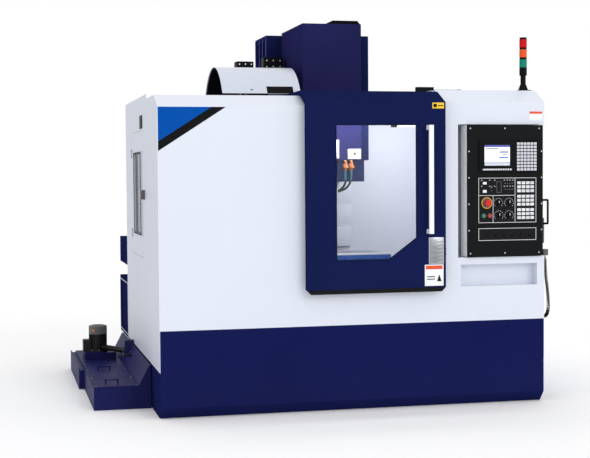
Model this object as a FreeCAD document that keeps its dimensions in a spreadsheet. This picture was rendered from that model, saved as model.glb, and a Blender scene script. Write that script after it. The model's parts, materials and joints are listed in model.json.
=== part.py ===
import FreeCAD, Part
import math
import os
import re

import Sketcher
from FreeCAD import Rotation, Vector

# A vertical machining centre in a sheet-metal enclosure, in millimetres.
# Formulas count x from the left wall, y from the front plane of the enclosure and z from the floor.
# Every placement then moves to the row frame, whose origin is on the floor under the middle of the
# whole machine: +X to the right of someone at the door, +Y to the rear, +Z up.

SIZES = [
    # enclosure
    ("width", 2600, "enclosure, left wall to right wall"),
    ("side_depth", 1942, "front plane to the rear edge of the side walls"),
    ("skirt_height", 562, "top of the base skirt"),
    ("toe_height", 70, "top of the slanted toe recess"),
    ("toe_depth", 62, "how far the toe recess goes back at the floor"),
    ("metal", 3, "sheet metal thickness"),
    ("skirt_metal", 6, "sheet thickness of the base skirt"),
    ("side_bottom", 297, "lower edge of the side walls"),
    ("side_top", 2087, "upper edge of the side walls"),
    ("bevel_low", 1979, "where the left front panel bends into its bevel"),
    ("bevel_run", 161, "bevel, front to back"),
    ("bevel_rise", 78, "bevel, bottom to top"),
    ("right_rise", 85, "bevel of the right front panel, bottom to top"),
    ("right_lift", 38, "how much taller the right front panel is than the left one"),
    ("roof_depth", 545, "rear edge of the front roof strips"),
    # sliding door
    ("door_left", 940, "left edge of the closed door"),
    ("door_width", 937, "door, left to right"),
    ("door_bottom", 799, "lower edge of the door sheet"),
    ("door_proud", 70, "front face of the door ahead of the enclosure"),
    ("door_fold", 40, "depth of the folds round the door"),
    ("door_lift", 29, "how much higher the door's bevel sits than the left panel's"),
    ("hood_depth", 610, "rear edge of the roof that moves with the door"),
    ("sill_height", 790, "top of the sill under the door"),
    ("window_left", 195, "door edge to window"),
    ("window_width", 541, "window, left to right"),
    ("window_bottom", 987, "window, lowest edge"),
    ("window_height", 874, "window, bottom to top"),
    ("window_cut_x", 188, "cut lower corner of the window, sideways"),
    ("window_cut_z", 137, "cut lower corner of the window, upwards"),
    ("glass", 6, "safety glass thickness"),
    ("handle_stand", 60, "front of the door handle ahead of the door"),
    ("handle_wide", 32, "door handle, side to side"),
    ("handle_high", 705, "door handle, bottom to top"),
    ("rail_height", 18, "door rail, bottom to top"),
    ("rail_wide", 24, "door rail, front to back"),
    # control recess, swinging control box and tray pocket
    ("recess_left", 1988, "left edge of the control recess"),
    ("recess_bottom", 984, "floor of the control recess"),
    ("recess_height", 882, "control recess, floor to ceiling"),
    ("recess_depth", 200, "control recess, front to back"),
    ("control_left", 2046, "left side of the control box"),
    ("control_width", 537, "control box, left to right"),
    ("control_depth", 127, "control box, front to back"),
    ("control_proud", 20, "front of the control box ahead of the enclosure"),
    ("control_gap", 5, "gap above and below the control box"),
    ("pivot_inset", 44, "pivot pin from the box's left side"),
    ("pivot_radius", 15, "radius of the control box pivot pins"),
    ("running", 0.3, "running clearance"),
    ("pocket_left", 2007, "left edge of the tray pocket"),
    ("pocket_width", 542, "tray pocket, left to right"),
    ("pocket_bottom", 793, "floor of the tray pocket"),
    ("pocket_height", 145, "tray pocket, floor to top"),
    ("pocket_depth", 70, "tray pocket, front to back"),
    # service hatch in the left wall
    ("hatch_front", 817, "front edge of the service hatch"),
    ("hatch_length", 690, "service hatch, front to back"),
    ("hatch_bottom", 975, "lower edge of the service hatch"),
    ("hatch_height", 880, "service hatch, bottom to top"),
    ("hatch_gap", 3, "gap round the service hatch"),
    ("pane_front", 70, "hatch front edge to its window"),
    ("pane_length", 425, "hatch window, front to back"),
    ("pane_bottom", 162, "hatch lower edge to its window"),
    ("pane_height", 562, "hatch window, bottom to top"),
    # machine structure
    ("spindle_x", 1318, "spindle axis from the left wall"),
    ("spindle_y", 870, "spindle axis from the front plane"),
    ("way_height", 620, "top of the bed's guideways"),
    ("bed_front", 300, "front face of the bed casting"),
    ("bed_length", 1560, "bed casting, front to back"),
    ("bed_wide", 900, "bed casting, left to right"),
    ("foot_height", 60, "levelling feet"),
    ("foot_radius", 60, "levelling foot pads"),
    ("column_front", 1400, "front face of the column"),
    ("column_depth", 400, "column, front to back"),
    ("column_wide", 644, "column, left to right"),
    ("column_top", 2579, "top of the column"),
    ("guide_wide", 34, "linear guide rails, width"),
    ("guide_high", 30, "linear guide rails, height"),
    ("saddle_wide", 1010, "saddle, left to right"),
    ("saddle_long", 500, "saddle, front to back"),
    ("saddle_high", 130, "saddle, bottom to top"),
    ("table_length", 1000, "table, left to right"),
    ("table_depth", 500, "table, front to back"),
    ("table_offset", 101, "table centre left of the spindle at rest"),
    ("table_top", 978, "table surface above the floor"),
    ("table_thick", 80, "table plate"),
    ("slot_wide", 18, "T-slot, neck"),
    ("slot_deep", 30, "T-slot, total depth"),
    ("slot_foot", 30, "T-slot, wide part"),
    ("slot_pitch", 100, "T-slot to T-slot"),
    ("screw_radius", 20, "ball screws"),
    ("motor_size", 130, "servo motors, square flange"),
    # head and spindle
    ("head_low", 1490, "lower face of the head casting"),
    ("head_wide", 470, "head casting, left to right"),
    ("head_front", 720, "front face of the head casting"),
    ("shoulder_height", 150, "wide lower block of the head"),
    ("cover_wide", 421, "head cover, left to right"),
    ("cover_front", 700, "front face of the head cover"),
    ("cover_low", 1640, "lower edge of the head cover"),
    ("cover_top", 2592, "top of the head cover"),
    ("nose_low", 1425, "spindle nose"),
    ("nose_radius", 44.45, "spindle nose flange"),
    ("taper_radius", 22.2, "spindle taper at the nose"),
    ("taper_deep", 65, "spindle taper, depth"),
    ("quill_radius", 75, "spindle cartridge below the head"),
    ("shaft_radius", 34, "rotating spindle shaft"),
    # tool magazine and changer
    ("drum_x", 505, "left edge of the magazine shroud"),
    ("drum_length", 540, "magazine shroud, left to right"),
    ("drum_z", 1864, "magazine axis above the floor"),
    ("drum_radius", 430, "magazine shroud, outside"),
    ("pot_circle", 275, "radius of the circle of tool pots"),
    ("pot_radius", 36, "tool pots, outside"),
    ("pot_bore", 24, "tool pots, inside"),
    ("pot_length", 120, "tool pots"),
    ("disc_x", 820, "left face of the magazine disc"),
    ("disc_thick", 30, "magazine disc"),
    ("arm_reach", 318, "tool change arm, hub to gripper centre"),
    ("arm_low", 1378, "underside of the tool change arm"),
    ("arm_thick", 26, "tool change arm"),
    # coolant tank and boxes behind
    ("tank_reach", 420, "how far the tank stands out from the left wall"),
    ("tank_front", 445, "front face of the coolant tank"),
    ("tank_length", 1905, "coolant tank, front to back"),
    ("tank_height", 150, "coolant tank, floor to deck"),
    ("tank_step_x", 38, "how much narrower the front of the tank is"),
    ("tank_step_y", 900, "length of the narrow front part"),
    ("chute_wide", 84, "sloped chip chute beside the tank deck"),
    ("chute_height", 288, "top of the sloped chip chute"),
    ("pump_y", 1900, "coolant pump from the front plane"),
    ("pump_radius", 69, "coolant pump motor"),
    ("pump_height", 198, "coolant pump motor, bottom to top"),
    ("rear_reach", 2590, "rear face of the rear boxes"),
    # signal tower
    ("tower_x", 2540, "signal tower from the left wall"),
    ("tower_y", 215, "signal tower from the front plane"),
    ("tower_radius", 25.5, "signal tower lenses"),
    ("lens_height", 54, "one signal lens"),
    ("lens_ring", 14, "ring between two lenses"),
    # side parts of the control box
    ("handle_reach", 47, "side handle out from the control box"),
    ("wheel_unit_reach", 65, "handwheel unit out from the right wall"),
    ("cord_radius", 13, "outer radius of the handwheel's curly cord"),
]

doc = FreeCAD.newDocument("machining_centre")
sheet = doc.addObject("Spreadsheet::Sheet", "Sizes")
for row, (alias, value, meaning) in enumerate(SIZES, start=1):
    sheet.set(f"A{row}", alias)
    sheet.set(f"B{row}", str(value))
    sheet.setAlias(f"B{row}", alias)
    sheet.set(f"C{row}", meaning)
doc.recompute()

# The origin is under the middle of the machine's whole box, cord left out.
ORIGIN_X = "(width + wheel_unit_reach - tank_reach) / 2"
ORIGIN_Y = "(rear_reach - door_proud - handle_stand) / 2"

CONTROL_FRONT = "(0 - control_proud)"
CONTROL_LOW = "(recess_bottom + control_gap)"
CONTROL_HIGH = "(recess_height - 2 * control_gap)"
DOOR_FRONT = "(0 - door_proud)"
DECK = "tank_height"
ROOF_LEFT = "(bevel_low + bevel_rise)"
ROOF_RIGHT = "(bevel_low + right_lift + right_rise)"
ROOF_DOOR = "(bevel_low + bevel_rise + door_lift)"
HEAD_REAR = "(column_front - guide_high - 4)"
SADDLE_LOW = "(way_height + guide_high + 5)"
SADDLE_TOP = "(way_height + guide_high + 5 + saddle_high)"
TABLE_LEFT = "(spindle_x - table_offset - table_length / 2)"
PIVOT_X = "(control_left + pivot_inset)"
PIVOT_Y = "(control_depth / 2 - control_proud)"

AXIS_TURN = {
    "x": Rotation(Vector(0, 1, 0), 90),
    "y": Rotation(Vector(1, 0, 0), -90),
    "z": Rotation(),
}
sub_parts = {}


def formula(text):
    """Turn the plain size names in a formula into references to the spreadsheet."""
    return re.sub(r"[a-z][a-z_]+", lambda word: "Sizes." + word.group(0), str(text))


def bind(thing, prop, text):
    thing.setExpression(prop, formula(text))


def put(thing, x, y, z):
    bind(thing, "Placement.Base.x", f"({x}) - {ORIGIN_X}")
    bind(thing, "Placement.Base.y", f"({y}) - {ORIGIN_Y}")
    bind(thing, "Placement.Base.z", z)
    return thing


def box(x, y, z, dx, dy, dz):
    """A box from its low corner and its three sides."""
    thing = doc.addObject("Part::Box", "Block")
    bind(thing, "Length", dx)
    bind(thing, "Width", dy)
    bind(thing, "Height", dz)
    return put(thing, x, y, z)


def rod(x, y, z, radius, length, axis="z"):
    """A cylinder that starts at a point and runs along +axis."""
    thing = doc.addObject("Part::Cylinder", "Rod")
    thing.Placement.Rotation = AXIS_TURN[axis]
    bind(thing, "Radius", radius)
    bind(thing, "Height", length)
    return put(thing, x, y, z)


def cone(x, y, z, radius, end_radius, length, axis="z"):
    thing = doc.addObject("Part::Cone", "Taper")
    thing.Placement.Rotation = AXIS_TURN[axis]
    bind(thing, "Radius1", radius)
    bind(thing, "Radius2", end_radius)
    bind(thing, "Height", length)
    return put(thing, x, y, z)


def fuse(*things):
    joined = doc.addObject("Part::MultiFuse", "Joined")
    joined.Shapes = list(things)
    joined.Refine = True
    return joined


def cut(base, *tools):
    """Take one or more shapes away from a base."""
    result = doc.addObject("Part::Cut", "Cut")
    result.Base = base
    result.Tool = tools[0] if len(tools) == 1 else fuse(*tools)
    result.Refine = True
    return result


def group(*things):
    """Several separate solids that share one node."""
    gathered = doc.addObject("Part::Compound", "Group")
    gathered.Links = list(things)
    return gathered


def round_edges(thing, radius, direction):
    """Round the straight edges of a box that run along one direction."""
    doc.recompute()
    rounded = doc.addObject("Part::Fillet", "Rounded")
    rounded.Base = thing
    picked = []
    for number, edge in enumerate(thing.Shape.Edges, start=1):
        run = edge.tangentAt(edge.FirstParameter)
        if abs(abs(run.dot(direction)) - 1) < 1e-6:
            picked.append((number, radius, radius))
    rounded.Edges = picked
    return rounded


def draw_loop(sketch, corners):
    """Draw a closed outline whose corners are held by formulas."""
    first = len(sketch.Geometry)
    count = len(corners)
    start = []
    for corner in range(count):
        angle = 2 * math.pi * corner / count
        start.append(Vector(first * 30 + 10 * math.cos(angle), 10 * math.sin(angle), 0))
    for corner in range(count):
        line = Part.LineSegment(start[corner], start[(corner + 1) % count])
        sketch.addGeometry(line, False)
    for corner in range(count):
        following = first + (corner + 1) % count
        sketch.addConstraint(Sketcher.Constraint("Coincident", first + corner, 2, following, 1))
    for corner, (across, up) in enumerate(corners):
        for kind, text in (("DistanceX", across), ("DistanceY", up)):
            held = Sketcher.Constraint(kind, -1, 1, first + corner, 1, 1.0)
            number = sketch.addConstraint(held)
            sketch.setExpression(f"Constraints[{number}]", formula(text))


def body_from_outline(plane, loops, thickness, x, y, z, backwards=False):
    """A PartDesign body: one outline with its holes on an origin plane, padded.

    On YZ_Plane the outline is (y, z) and the pad runs to +x. On XZ_Plane it is (x, z) and the pad
    runs to -y, or to +y when backwards. On XY_Plane it is (x, y) and the pad runs to +z.
    """
    body = doc.addObject("PartDesign::Body", "Body")
    sketch = body.newObject("Sketcher::SketchObject", "Outline")
    plane_object = next(item for item in body.Origin.OriginFeatures if item.Role == plane)
    sketch.AttachmentSupport = [(plane_object, "")]
    sketch.MapMode = "FlatFace"
    for corners in loops:
        draw_loop(sketch, corners)
    pad = body.newObject("PartDesign::Pad", "Thickness")
    pad.Profile = sketch
    bind(pad, "Length", thickness)
    pad.Reversed = backwards
    body.Tip = pad
    return put(body, x, y, z)


def rectangle(across, up, wide, high):
    return [
        (across, up),
        (f"{across} + {wide}", up),
        (f"{across} + {wide}", f"{up} + {high}"),
        (across, f"{up} + {high}"),
    ]


def keep(name, thing):
    thing.Label = name
    sub_parts[name] = thing
    return thing


def bevel_outline(bottom, fold, roof_end, front, rise="bevel_rise"):
    """Side outline of a bent sheet: front, bevel and roof strip, one sheet thick."""
    slope = f"metal * (1 - {rise} / (2 * bevel_run))"
    return [
        (front, bottom),
        (front, fold),
        (f"{front} + bevel_run", f"{fold} + {rise}"),
        (roof_end, f"{fold} + {rise}"),
        (roof_end, f"{fold} + {rise} - metal"),
        (f"{front} + bevel_run + metal / 2", f"{fold} + {rise} - metal"),
        (f"{front} + metal", f"{fold} - {slope}"),
        (f"{front} + metal", bottom),
    ]


# ---------------------------------------------------------------- base and enclosure
def base_skirt():
    """Folded skirt: front sheet with a slanted toe recess and a side sheet at each end."""
    front = body_from_outline(
        "YZ_Plane",
        [
            [
                ("0", "skirt_height"),
                ("0", "toe_height"),
                ("toe_depth", "0"),
                ("toe_depth + skirt_metal", "0"),
                ("toe_depth + skirt_metal", "skirt_metal / 2"),
                ("skirt_metal", "toe_height + skirt_metal / 2"),
                ("skirt_metal", "skirt_height - skirt_metal"),
                ("120", "skirt_height - skirt_metal"),
                ("120", "skirt_height"),
            ]
        ],
        "width - 2 * metal",
        "metal",
        "0",
        "0",
    )
    side = [
        ("skirt_metal", "skirt_height"),
        ("skirt_metal", "toe_height"),
        ("toe_depth + skirt_metal", "0"),
        ("side_depth", "0"),
        ("side_depth", "side_bottom"),
        ("120", "side_bottom"),
        ("120", "skirt_height"),
    ]
    left = body_from_outline("YZ_Plane", [side], "skirt_metal", "metal", "0", "0")
    right = body_from_outline(
        "YZ_Plane", [side], "skirt_metal", "width - metal - skirt_metal", "0", "0"
    )
    keep("base_skirt", fuse(front, left, right))


def front_panel_left():
    """White front sheet with its bevel and roof strip, and the sill under the door."""
    main = body_from_outline(
        "YZ_Plane",
        [bevel_outline("skirt_height", "bevel_low", "roof_depth", "0")],
        "door_left + 20",
        "0",
        "0",
        "0",
    )
    sill = body_from_outline(
        "YZ_Plane",
        [
            [
                ("0", "skirt_height"),
                ("0", "sill_height"),
                ("60", "sill_height"),
                ("60", "sill_height - metal"),
                ("metal", "sill_height - metal"),
                ("metal", "skirt_height"),
            ]
        ],
        "door_width - 20 + metal",
        "door_left + 20",
        "0",
        "0",
    )
    post = box("door_left + 20 - metal", "0", "skirt_height", "metal", "60", "bevel_low - skirt_height")
    keep("front_panel_left", fuse(main, sill, post))


def front_panel_right():
    """White front sheet with the control recess and the tray pocket folded into it."""
    left = "(door_left + door_width + metal)"
    main = body_from_outline(
        "YZ_Plane",
        [bevel_outline("skirt_height", "bevel_low + right_lift", "hood_depth", "0", "right_rise")],
        f"width - {left}",
        left,
        "0",
        "0",
    )
    post = box(left, "0", "skirt_height", "metal", "80", "bevel_low + right_lift - skirt_height")
    recess_shell = box(
        "recess_left - metal",
        "0",
        "recess_bottom - metal",
        "width - recess_left + metal",
        "recess_depth + metal",
        "recess_height + 2 * metal",
    )
    recess_space = box(
        "recess_left", "0 - 1", "recess_bottom", "width - recess_left + 1", "recess_depth + 1", "recess_height"
    )
    pocket_shell = box(
        "pocket_left - metal",
        "0",
        "pocket_bottom - metal",
        "pocket_width + 2 * metal",
        "pocket_depth + metal",
        "pocket_height + 2 * metal",
    )
    pocket_space = box(
        "pocket_left", "0 - 1", "pocket_bottom", "pocket_width", "pocket_depth + 1", "pocket_height"
    )
    bosses = []
    for low in ("recess_bottom - 12", "recess_bottom + recess_height"):
        bosses.append(rod(PIVOT_X, PIVOT_Y, low, "pivot_radius + 12", "12"))
    bore = rod(
        PIVOT_X, PIVOT_Y, "recess_bottom - 20", "pivot_radius + running", "recess_height + 40"
    )
    sheet_with_folds = fuse(main, post, recess_shell, pocket_shell, *bosses)
    keep("front_panel_right", cut(sheet_with_folds, recess_space, pocket_space, bore))


def side_outline(top, rise):
    return [
        ("0", "side_bottom"),
        ("side_depth", "side_bottom"),
        ("side_depth", "side_top"),
        ("roof_depth + 46", "side_top"),
        ("roof_depth + 46", f"{top} - metal"),
        ("bevel_run + metal", f"{top} - metal"),
        ("metal", f"{top} - {rise} - metal"),
        ("metal", "skirt_height"),
        ("0", "skirt_height"),
    ]


def side_panels():
    """Side walls: the left one has the hatch opening, the right one the control recess."""
    hatch = rectangle("hatch_front", "hatch_bottom", "hatch_length", "hatch_height")
    outline = side_outline(ROOF_LEFT, "bevel_rise")
    wall = body_from_outline("YZ_Plane", [outline, hatch], "metal", "0", "0", "0")
    knuckles = []
    for low in HINGE_LOW:
        knuckles.append(hinge_half(low))
    keep("side_panel_left", fuse(wall, *knuckles))
    outline = side_outline(ROOF_RIGHT, "right_rise")
    wall = body_from_outline("YZ_Plane", [outline], "metal", "width - metal", "0", "0")
    recess = box(
        "width - metal - 1",
        "0 - 1",
        "recess_bottom - metal",
        "metal + 2",
        "recess_depth + metal + 1",
        "recess_height + 2 * metal",
    )
    keep("side_panel_right", cut(wall, recess))


def inner_walls():
    """Splash walls beside the column, rear panel and the sloped floor trays beside the bed."""
    column_left = "(spindle_x - column_wide / 2)"
    column_right = "(spindle_x + column_wide / 2)"
    bed_left = "(spindle_x - bed_wide / 2)"
    bed_right = "(spindle_x + bed_wide / 2)"
    high = "side_top - side_bottom"
    rear_left = box("metal", "column_front", "side_bottom", f"{column_left} - metal", "metal", high)
    rear_right = box(
        column_right, "column_front", "side_bottom", f"width - metal - {column_right}", "metal", high
    )
    bed = box(bed_left, "column_front - 1", "0", "bed_wide", "metal + 2", "way_height")
    back = box("metal", "side_depth - metal", "side_bottom", "width - 2 * metal", "metal", high)
    pieces = [cut(rear_left, bed), cut(rear_right, bed), back]
    for start, wide, low in (
        ("metal", f"({bed_left} - metal)", "80"),
        (bed_right, f"(width - metal - {bed_right})", "120"),
    ):
        high_end = "163"
        near, far = (low, high_end)
        outline = [("0", near), ("0", f"{near} + metal"), (wide, far), (wide, f"{far} - metal")]
        pieces.append(
            body_from_outline(
                "XZ_Plane", [outline], "column_front - 140", start, "column_front", "side_bottom"
            )
        )
    keep("inner_walls", group(*pieces))


# ---------------------------------------------------------------- sliding door
def sliding_door():
    """Door sheet with bevel, moving roof, end plates, bottom fold and slide blocks."""
    fold = "(bevel_low + door_lift)"
    skin = body_from_outline(
        "YZ_Plane",
        [bevel_outline("door_bottom", fold, "hood_depth", DOOR_FRONT)],
        "door_width",
        "door_left",
        "0",
        "0",
    )
    inner = "(0 - door_proud + door_fold)"
    end = [
        (DOOR_FRONT, "door_bottom"),
        (DOOR_FRONT, fold),
        (f"{DOOR_FRONT} + bevel_run", ROOF_DOOR),
        ("hood_depth", ROOF_DOOR),
        ("hood_depth", f"{ROOF_DOOR} - 7"),
        ("roof_depth - 6", f"{ROOF_DOOR} - 7"),
        ("roof_depth - 6", f"{ROOF_LEFT} + 6"),
        ("bevel_run - 46", f"{ROOF_LEFT} + 6"),
        (inner, f"{ROOF_LEFT} + 6 - bevel_rise * 0.9"),
        (inner, "door_bottom"),
    ]
    left = body_from_outline("YZ_Plane", [end], "metal", "door_left", "0", "0")
    right = body_from_outline("YZ_Plane", [end], "metal", "door_left + door_width - metal", "0", "0")
    bottom = box("door_left", DOOR_FRONT, "door_bottom", "door_width", "door_fold", "metal")
    lip = box("door_left", f"{inner} - metal", "door_bottom", "door_width", "metal", "40")
    window = body_from_outline(
        "XZ_Plane", [window_outline("0")], "20", "door_left + window_left", f"{DOOR_FRONT} + 10", "window_bottom"
    )
    parts = [skin, left, right, bottom, lip]
    for start in ("door_left + 40", "door_left + door_width - 120"):
        parts.append(slide_block(start))
    keep("door_shell", cut(fuse(*parts), window))


def window_outline(grow):
    """Window outline with its cut lower right corner, grown by a margin."""
    return [
        (f"0 - {grow}", f"0 - {grow}"),
        (f"window_width - window_cut_x + {grow} * 0.4", f"0 - {grow}"),
        (f"window_width + {grow}", f"window_cut_z - {grow} * 0.4"),
        (f"window_width + {grow}", f"window_height + {grow}"),
        (f"0 - {grow}", f"window_height + {grow}"),
    ]


def slide_block(start):
    rail_y = "(roof_depth + 12)"
    top = f"{ROOF_DOOR} - metal"
    low = f"{ROOF_LEFT} + 4"
    outer = box(start, f"{rail_y} - 8", low, "80", "rail_wide + 16", f"{top} - ({low})")
    groove = box(
        f"{start} - 1",
        f"{rail_y} - running",
        f"{low} - 1",
        "82",
        "rail_wide + 2 * running",
        f"{ROOF_LEFT} + rail_height + running - ({low}) + 1",
    )
    return cut(outer, groove)


def door_glass():
    pane = body_from_outline(
        "XZ_Plane",
        [window_outline("14")],
        "glass",
        "door_left + window_left",
        f"{DOOR_FRONT} + metal + glass",
        "window_bottom",
    )
    keep("door_glass", pane)


def door_handle():
    """Bar handle on two feet."""
    x = "(door_left + door_width - 132)"
    low = "1152"
    depth = "18"
    bar = box(x, f"{DOOR_FRONT} - handle_stand", low, "handle_wide", depth, "handle_high")
    rounded = round_edges(bar, 6, Vector(0, 0, 1))
    feet = []
    for start in (low, f"{low} + handle_high - 30"):
        feet.append(box(x, f"{DOOR_FRONT} - handle_stand + 8", start, "handle_wide", "handle_stand - 8", "30"))
    keep("door_handle", fuse(rounded, *feet))


def door_wiper():
    """Black wiper strip under the door with mitred ends."""
    strip = body_from_outline(
        "XZ_Plane",
        [
            [
                ("27", "0 - 28"),
                ("door_width - 27", "0 - 28"),
                ("door_width", "0"),
                ("0", "0"),
            ]
        ],
        "10",
        "door_left",
        f"{DOOR_FRONT} + 12",
        "door_bottom",
    )
    keep("door_wiper", strip)


def door_rail():
    """Header beam and rail that carry the door, and the guide block at its foot."""
    header = box(
        "metal", "roof_depth + metal", f"{ROOF_LEFT} - 40", "width - 2 * metal", "38", "40"
    )
    rail = box(
        "30", "roof_depth + 12", ROOF_LEFT, "door_left + door_width - 40", "rail_wide", "rail_height"
    )
    guide = box("door_left + 4", "running - door_proud + door_fold", "door_bottom + 2", "30", "door_proud - door_fold - running", "34")
    keep("door_rail", group(fuse(header, rail), guide))


# ---------------------------------------------------------------- service hatch
HINGE_LOW = ("hatch_bottom + 120", "hatch_bottom + hatch_height - 180")
HINGE_X = "(0 - 5)"
HINGE_Y = "(hatch_front + hatch_length + 2)"


def hinge_half(low):
    """Fixed half of a hatch hinge: two knuckles, their leaf and the pin."""
    parts = [rod(HINGE_X, HINGE_Y, low, "2.5", "60")]
    for start in (low, f"{low} + 40"):
        parts.append(rod(HINGE_X, HINGE_Y, start, "4.5", "20"))
        parts.append(box("0 - 3", HINGE_Y, start, "3", "24", "20"))
        parts.append(box("0 - 5", HINGE_Y, start, "2", "9", "20"))
    return fuse(*parts)


def service_hatch():
    """Flush hatch in the left wall: sheet, window rim, edge fold and moving hinge knuckles."""
    sheet_body = body_from_outline(
        "YZ_Plane",
        [
            rectangle(
                "hatch_front + hatch_gap",
                "hatch_bottom + hatch_gap",
                "hatch_length - 2 * hatch_gap",
                "hatch_height - 2 * hatch_gap",
            ),
            rectangle(
                "hatch_front + pane_front", "hatch_bottom + pane_bottom", "pane_length", "pane_height"
            ),
        ],
        "metal",
        "0",
        "0",
        "0",
    )
    rim = body_from_outline(
        "YZ_Plane",
        [
            rectangle(
                "hatch_front + pane_front - 14",
                "hatch_bottom + pane_bottom - 14",
                "pane_length + 28",
                "pane_height + 28",
            ),
            rectangle(
                "hatch_front + pane_front", "hatch_bottom + pane_bottom", "pane_length", "pane_height"
            ),
        ],
        "8",
        "0 - 8",
        "0",
        "0",
    )
    parts = [sheet_body, rim]
    for low in HINGE_LOW:
        knuckle = fuse(
            rod(HINGE_X, HINGE_Y, f"{low} + 20.5", "4.5", "19"),
            box("0 - 3", f"{HINGE_Y} - 26", f"{low} + 20.5", "3", "26", "19"),
        )
        parts.append(cut(knuckle, rod(HINGE_X, HINGE_Y, f"{low} + 20", "2.55", "20")))
    keep("hatch_panel", fuse(*parts))
    pane = box(
        "metal",
        "hatch_front + pane_front - 12",
        "hatch_bottom + pane_bottom - 12",
        "glass",
        "pane_length + 24",
        "pane_height + 24",
    )
    keep("hatch_glass", pane)
    body = box("0 - 28", "hatch_front - 112", "hatch_bottom + 406", "28", "36", "64")
    keep("hatch_interlock", round_edges(body, 4, Vector(1, 0, 0)))


# ---------------------------------------------------------------- machine structure
def base_casting():
    """Bed with a groove for the screw; its rear end carries the column."""
    left = "(spindle_x - bed_wide / 2)"
    bed = box(left, "bed_front", "foot_height", "bed_wide", "bed_length", "way_height - foot_height")
    groove = box(
        "spindle_x - 50",
        "bed_front - 1",
        "way_height - 35",
        "100",
        "column_front - bed_front - 40",
        "36",
    )
    keep("base_casting", cut(bed, groove))


def levelling_feet():
    """Six round pads with their screws under the bed."""
    feet = []
    for across in ("spindle_x - bed_wide / 2 + 60", "spindle_x + bed_wide / 2 - 60"):
        for along in ("bed_front + 60", "bed_front + bed_length / 2", "bed_front + bed_length - 60"):
            pad = rod(across, along, "0", "foot_radius", "25")
            stud = rod(across, along, "25", "15", "foot_height - 25")
            feet.append(fuse(pad, stud))
    keep("levelling_feet", group(*feet))


def column():
    """Column with a screw groove in front, a motor pocket and ribbed sides."""
    left = "(spindle_x - column_wide / 2)"
    tower = box(
        left,
        "column_front",
        "way_height",
        "column_wide",
        "column_depth",
        "column_top - way_height",
    )
    groove = box("spindle_x - 60", "column_front - 1", "1100", "120", "71", "1301")
    pocket = box("spindle_x - 80", "column_front - 1", "2400", "160", "161", "column_top - 2399")
    tools = [groove, pocket]
    for side in (f"{left} - 1", "spindle_x + column_wide / 2 - 9"):
        for along in ("30", "150", "270"):
            tools.append(
                box(side, f"column_front + {along}", "way_height + 150", "10", "90", "column_top - way_height - 200")
            )
    keep("column", cut(tower, *tools))


def guide_rails():
    """Fixed linear guides: two on the bed and two on the column."""
    rails = []
    for across in ("spindle_x - 300", "spindle_x + 300"):
        rails.append(
            box(
                f"{across} - guide_wide / 2",
                "bed_front + 10",
                "way_height",
                "guide_wide",
                "column_front - bed_front - 40",
                "guide_high",
            )
        )
    for across in ("spindle_x - 165", "spindle_x + 165"):
        rails.append(
            box(
                f"{across} - guide_wide / 2",
                "column_front - guide_high",
                "1090",
                "guide_wide",
                "guide_high",
                "column_top - 1110",
            )
        )
    keep("guide_rails", group(*rails))


def ball_screws():
    """The three ball screws, each a ground rod with a thinner end for its motor."""
    y_low = "(way_height + 12)"
    y_screw = fuse(
        rod("spindle_x", "bed_front", y_low, "12", "63", "y"),
        rod("spindle_x", "bed_front + 63", y_low, "screw_radius", "column_front - bed_front - 120", "y"),
    )
    keep("y_screw", y_screw)
    z_screw = fuse(
        rod("spindle_x", "column_front + 40", "1100", "screw_radius", "1240"),
        rod("spindle_x", "column_front + 40", "2340", "12", "60"),
    )
    keep("z_screw", z_screw)
    x_low = f"{SADDLE_TOP} + 22"
    left = "spindle_x - saddle_wide / 2"
    x_screw = fuse(
        rod(f"{left} + 6", "spindle_y", x_low, "12", "saddle_wide - 6", "x"),
        rod(f"{left} + 40", "spindle_y", x_low, "screw_radius", "saddle_wide - 100", "x"),
    )
    keep("x_screw", x_screw)


def servo_motors():
    """Motors that stand still: bed, column and the two drive boxes of the magazine."""
    motor_y = box(
        "spindle_x - motor_size / 2",
        "bed_front - 190",
        "way_height + 12 - motor_size / 2",
        "motor_size",
        "190",
        "motor_size",
    )
    motor_z = box(
        "spindle_x - motor_size / 2",
        "column_front + 40 - motor_size / 2",
        "2400",
        "motor_size",
        "motor_size",
        "column_top - 2400",
    )
    motors = [
        round_edges(motor_y, 10, Vector(0, 1, 0)),
        round_edges(motor_z, 10, Vector(0, 0, 1)),
    ]
    around = rod("drum_x - 1", "spindle_y", "drum_z", "drum_radius + 0.2", "drum_length + 41", "x")
    for across, wide, top in (("933", "145", "533"), ("733", "125", "502")):
        drive = box(
            across,
            "spindle_y + drum_radius - 110",
            "drum_z + drum_radius - 194",
            wide,
            "110",
            f"{top} + 194 - drum_radius",
        )
        motors.append(cut(round_edges(drive, 8, Vector(0, 0, 1)), around))
    keep("servo_motors", group(*motors))


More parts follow.
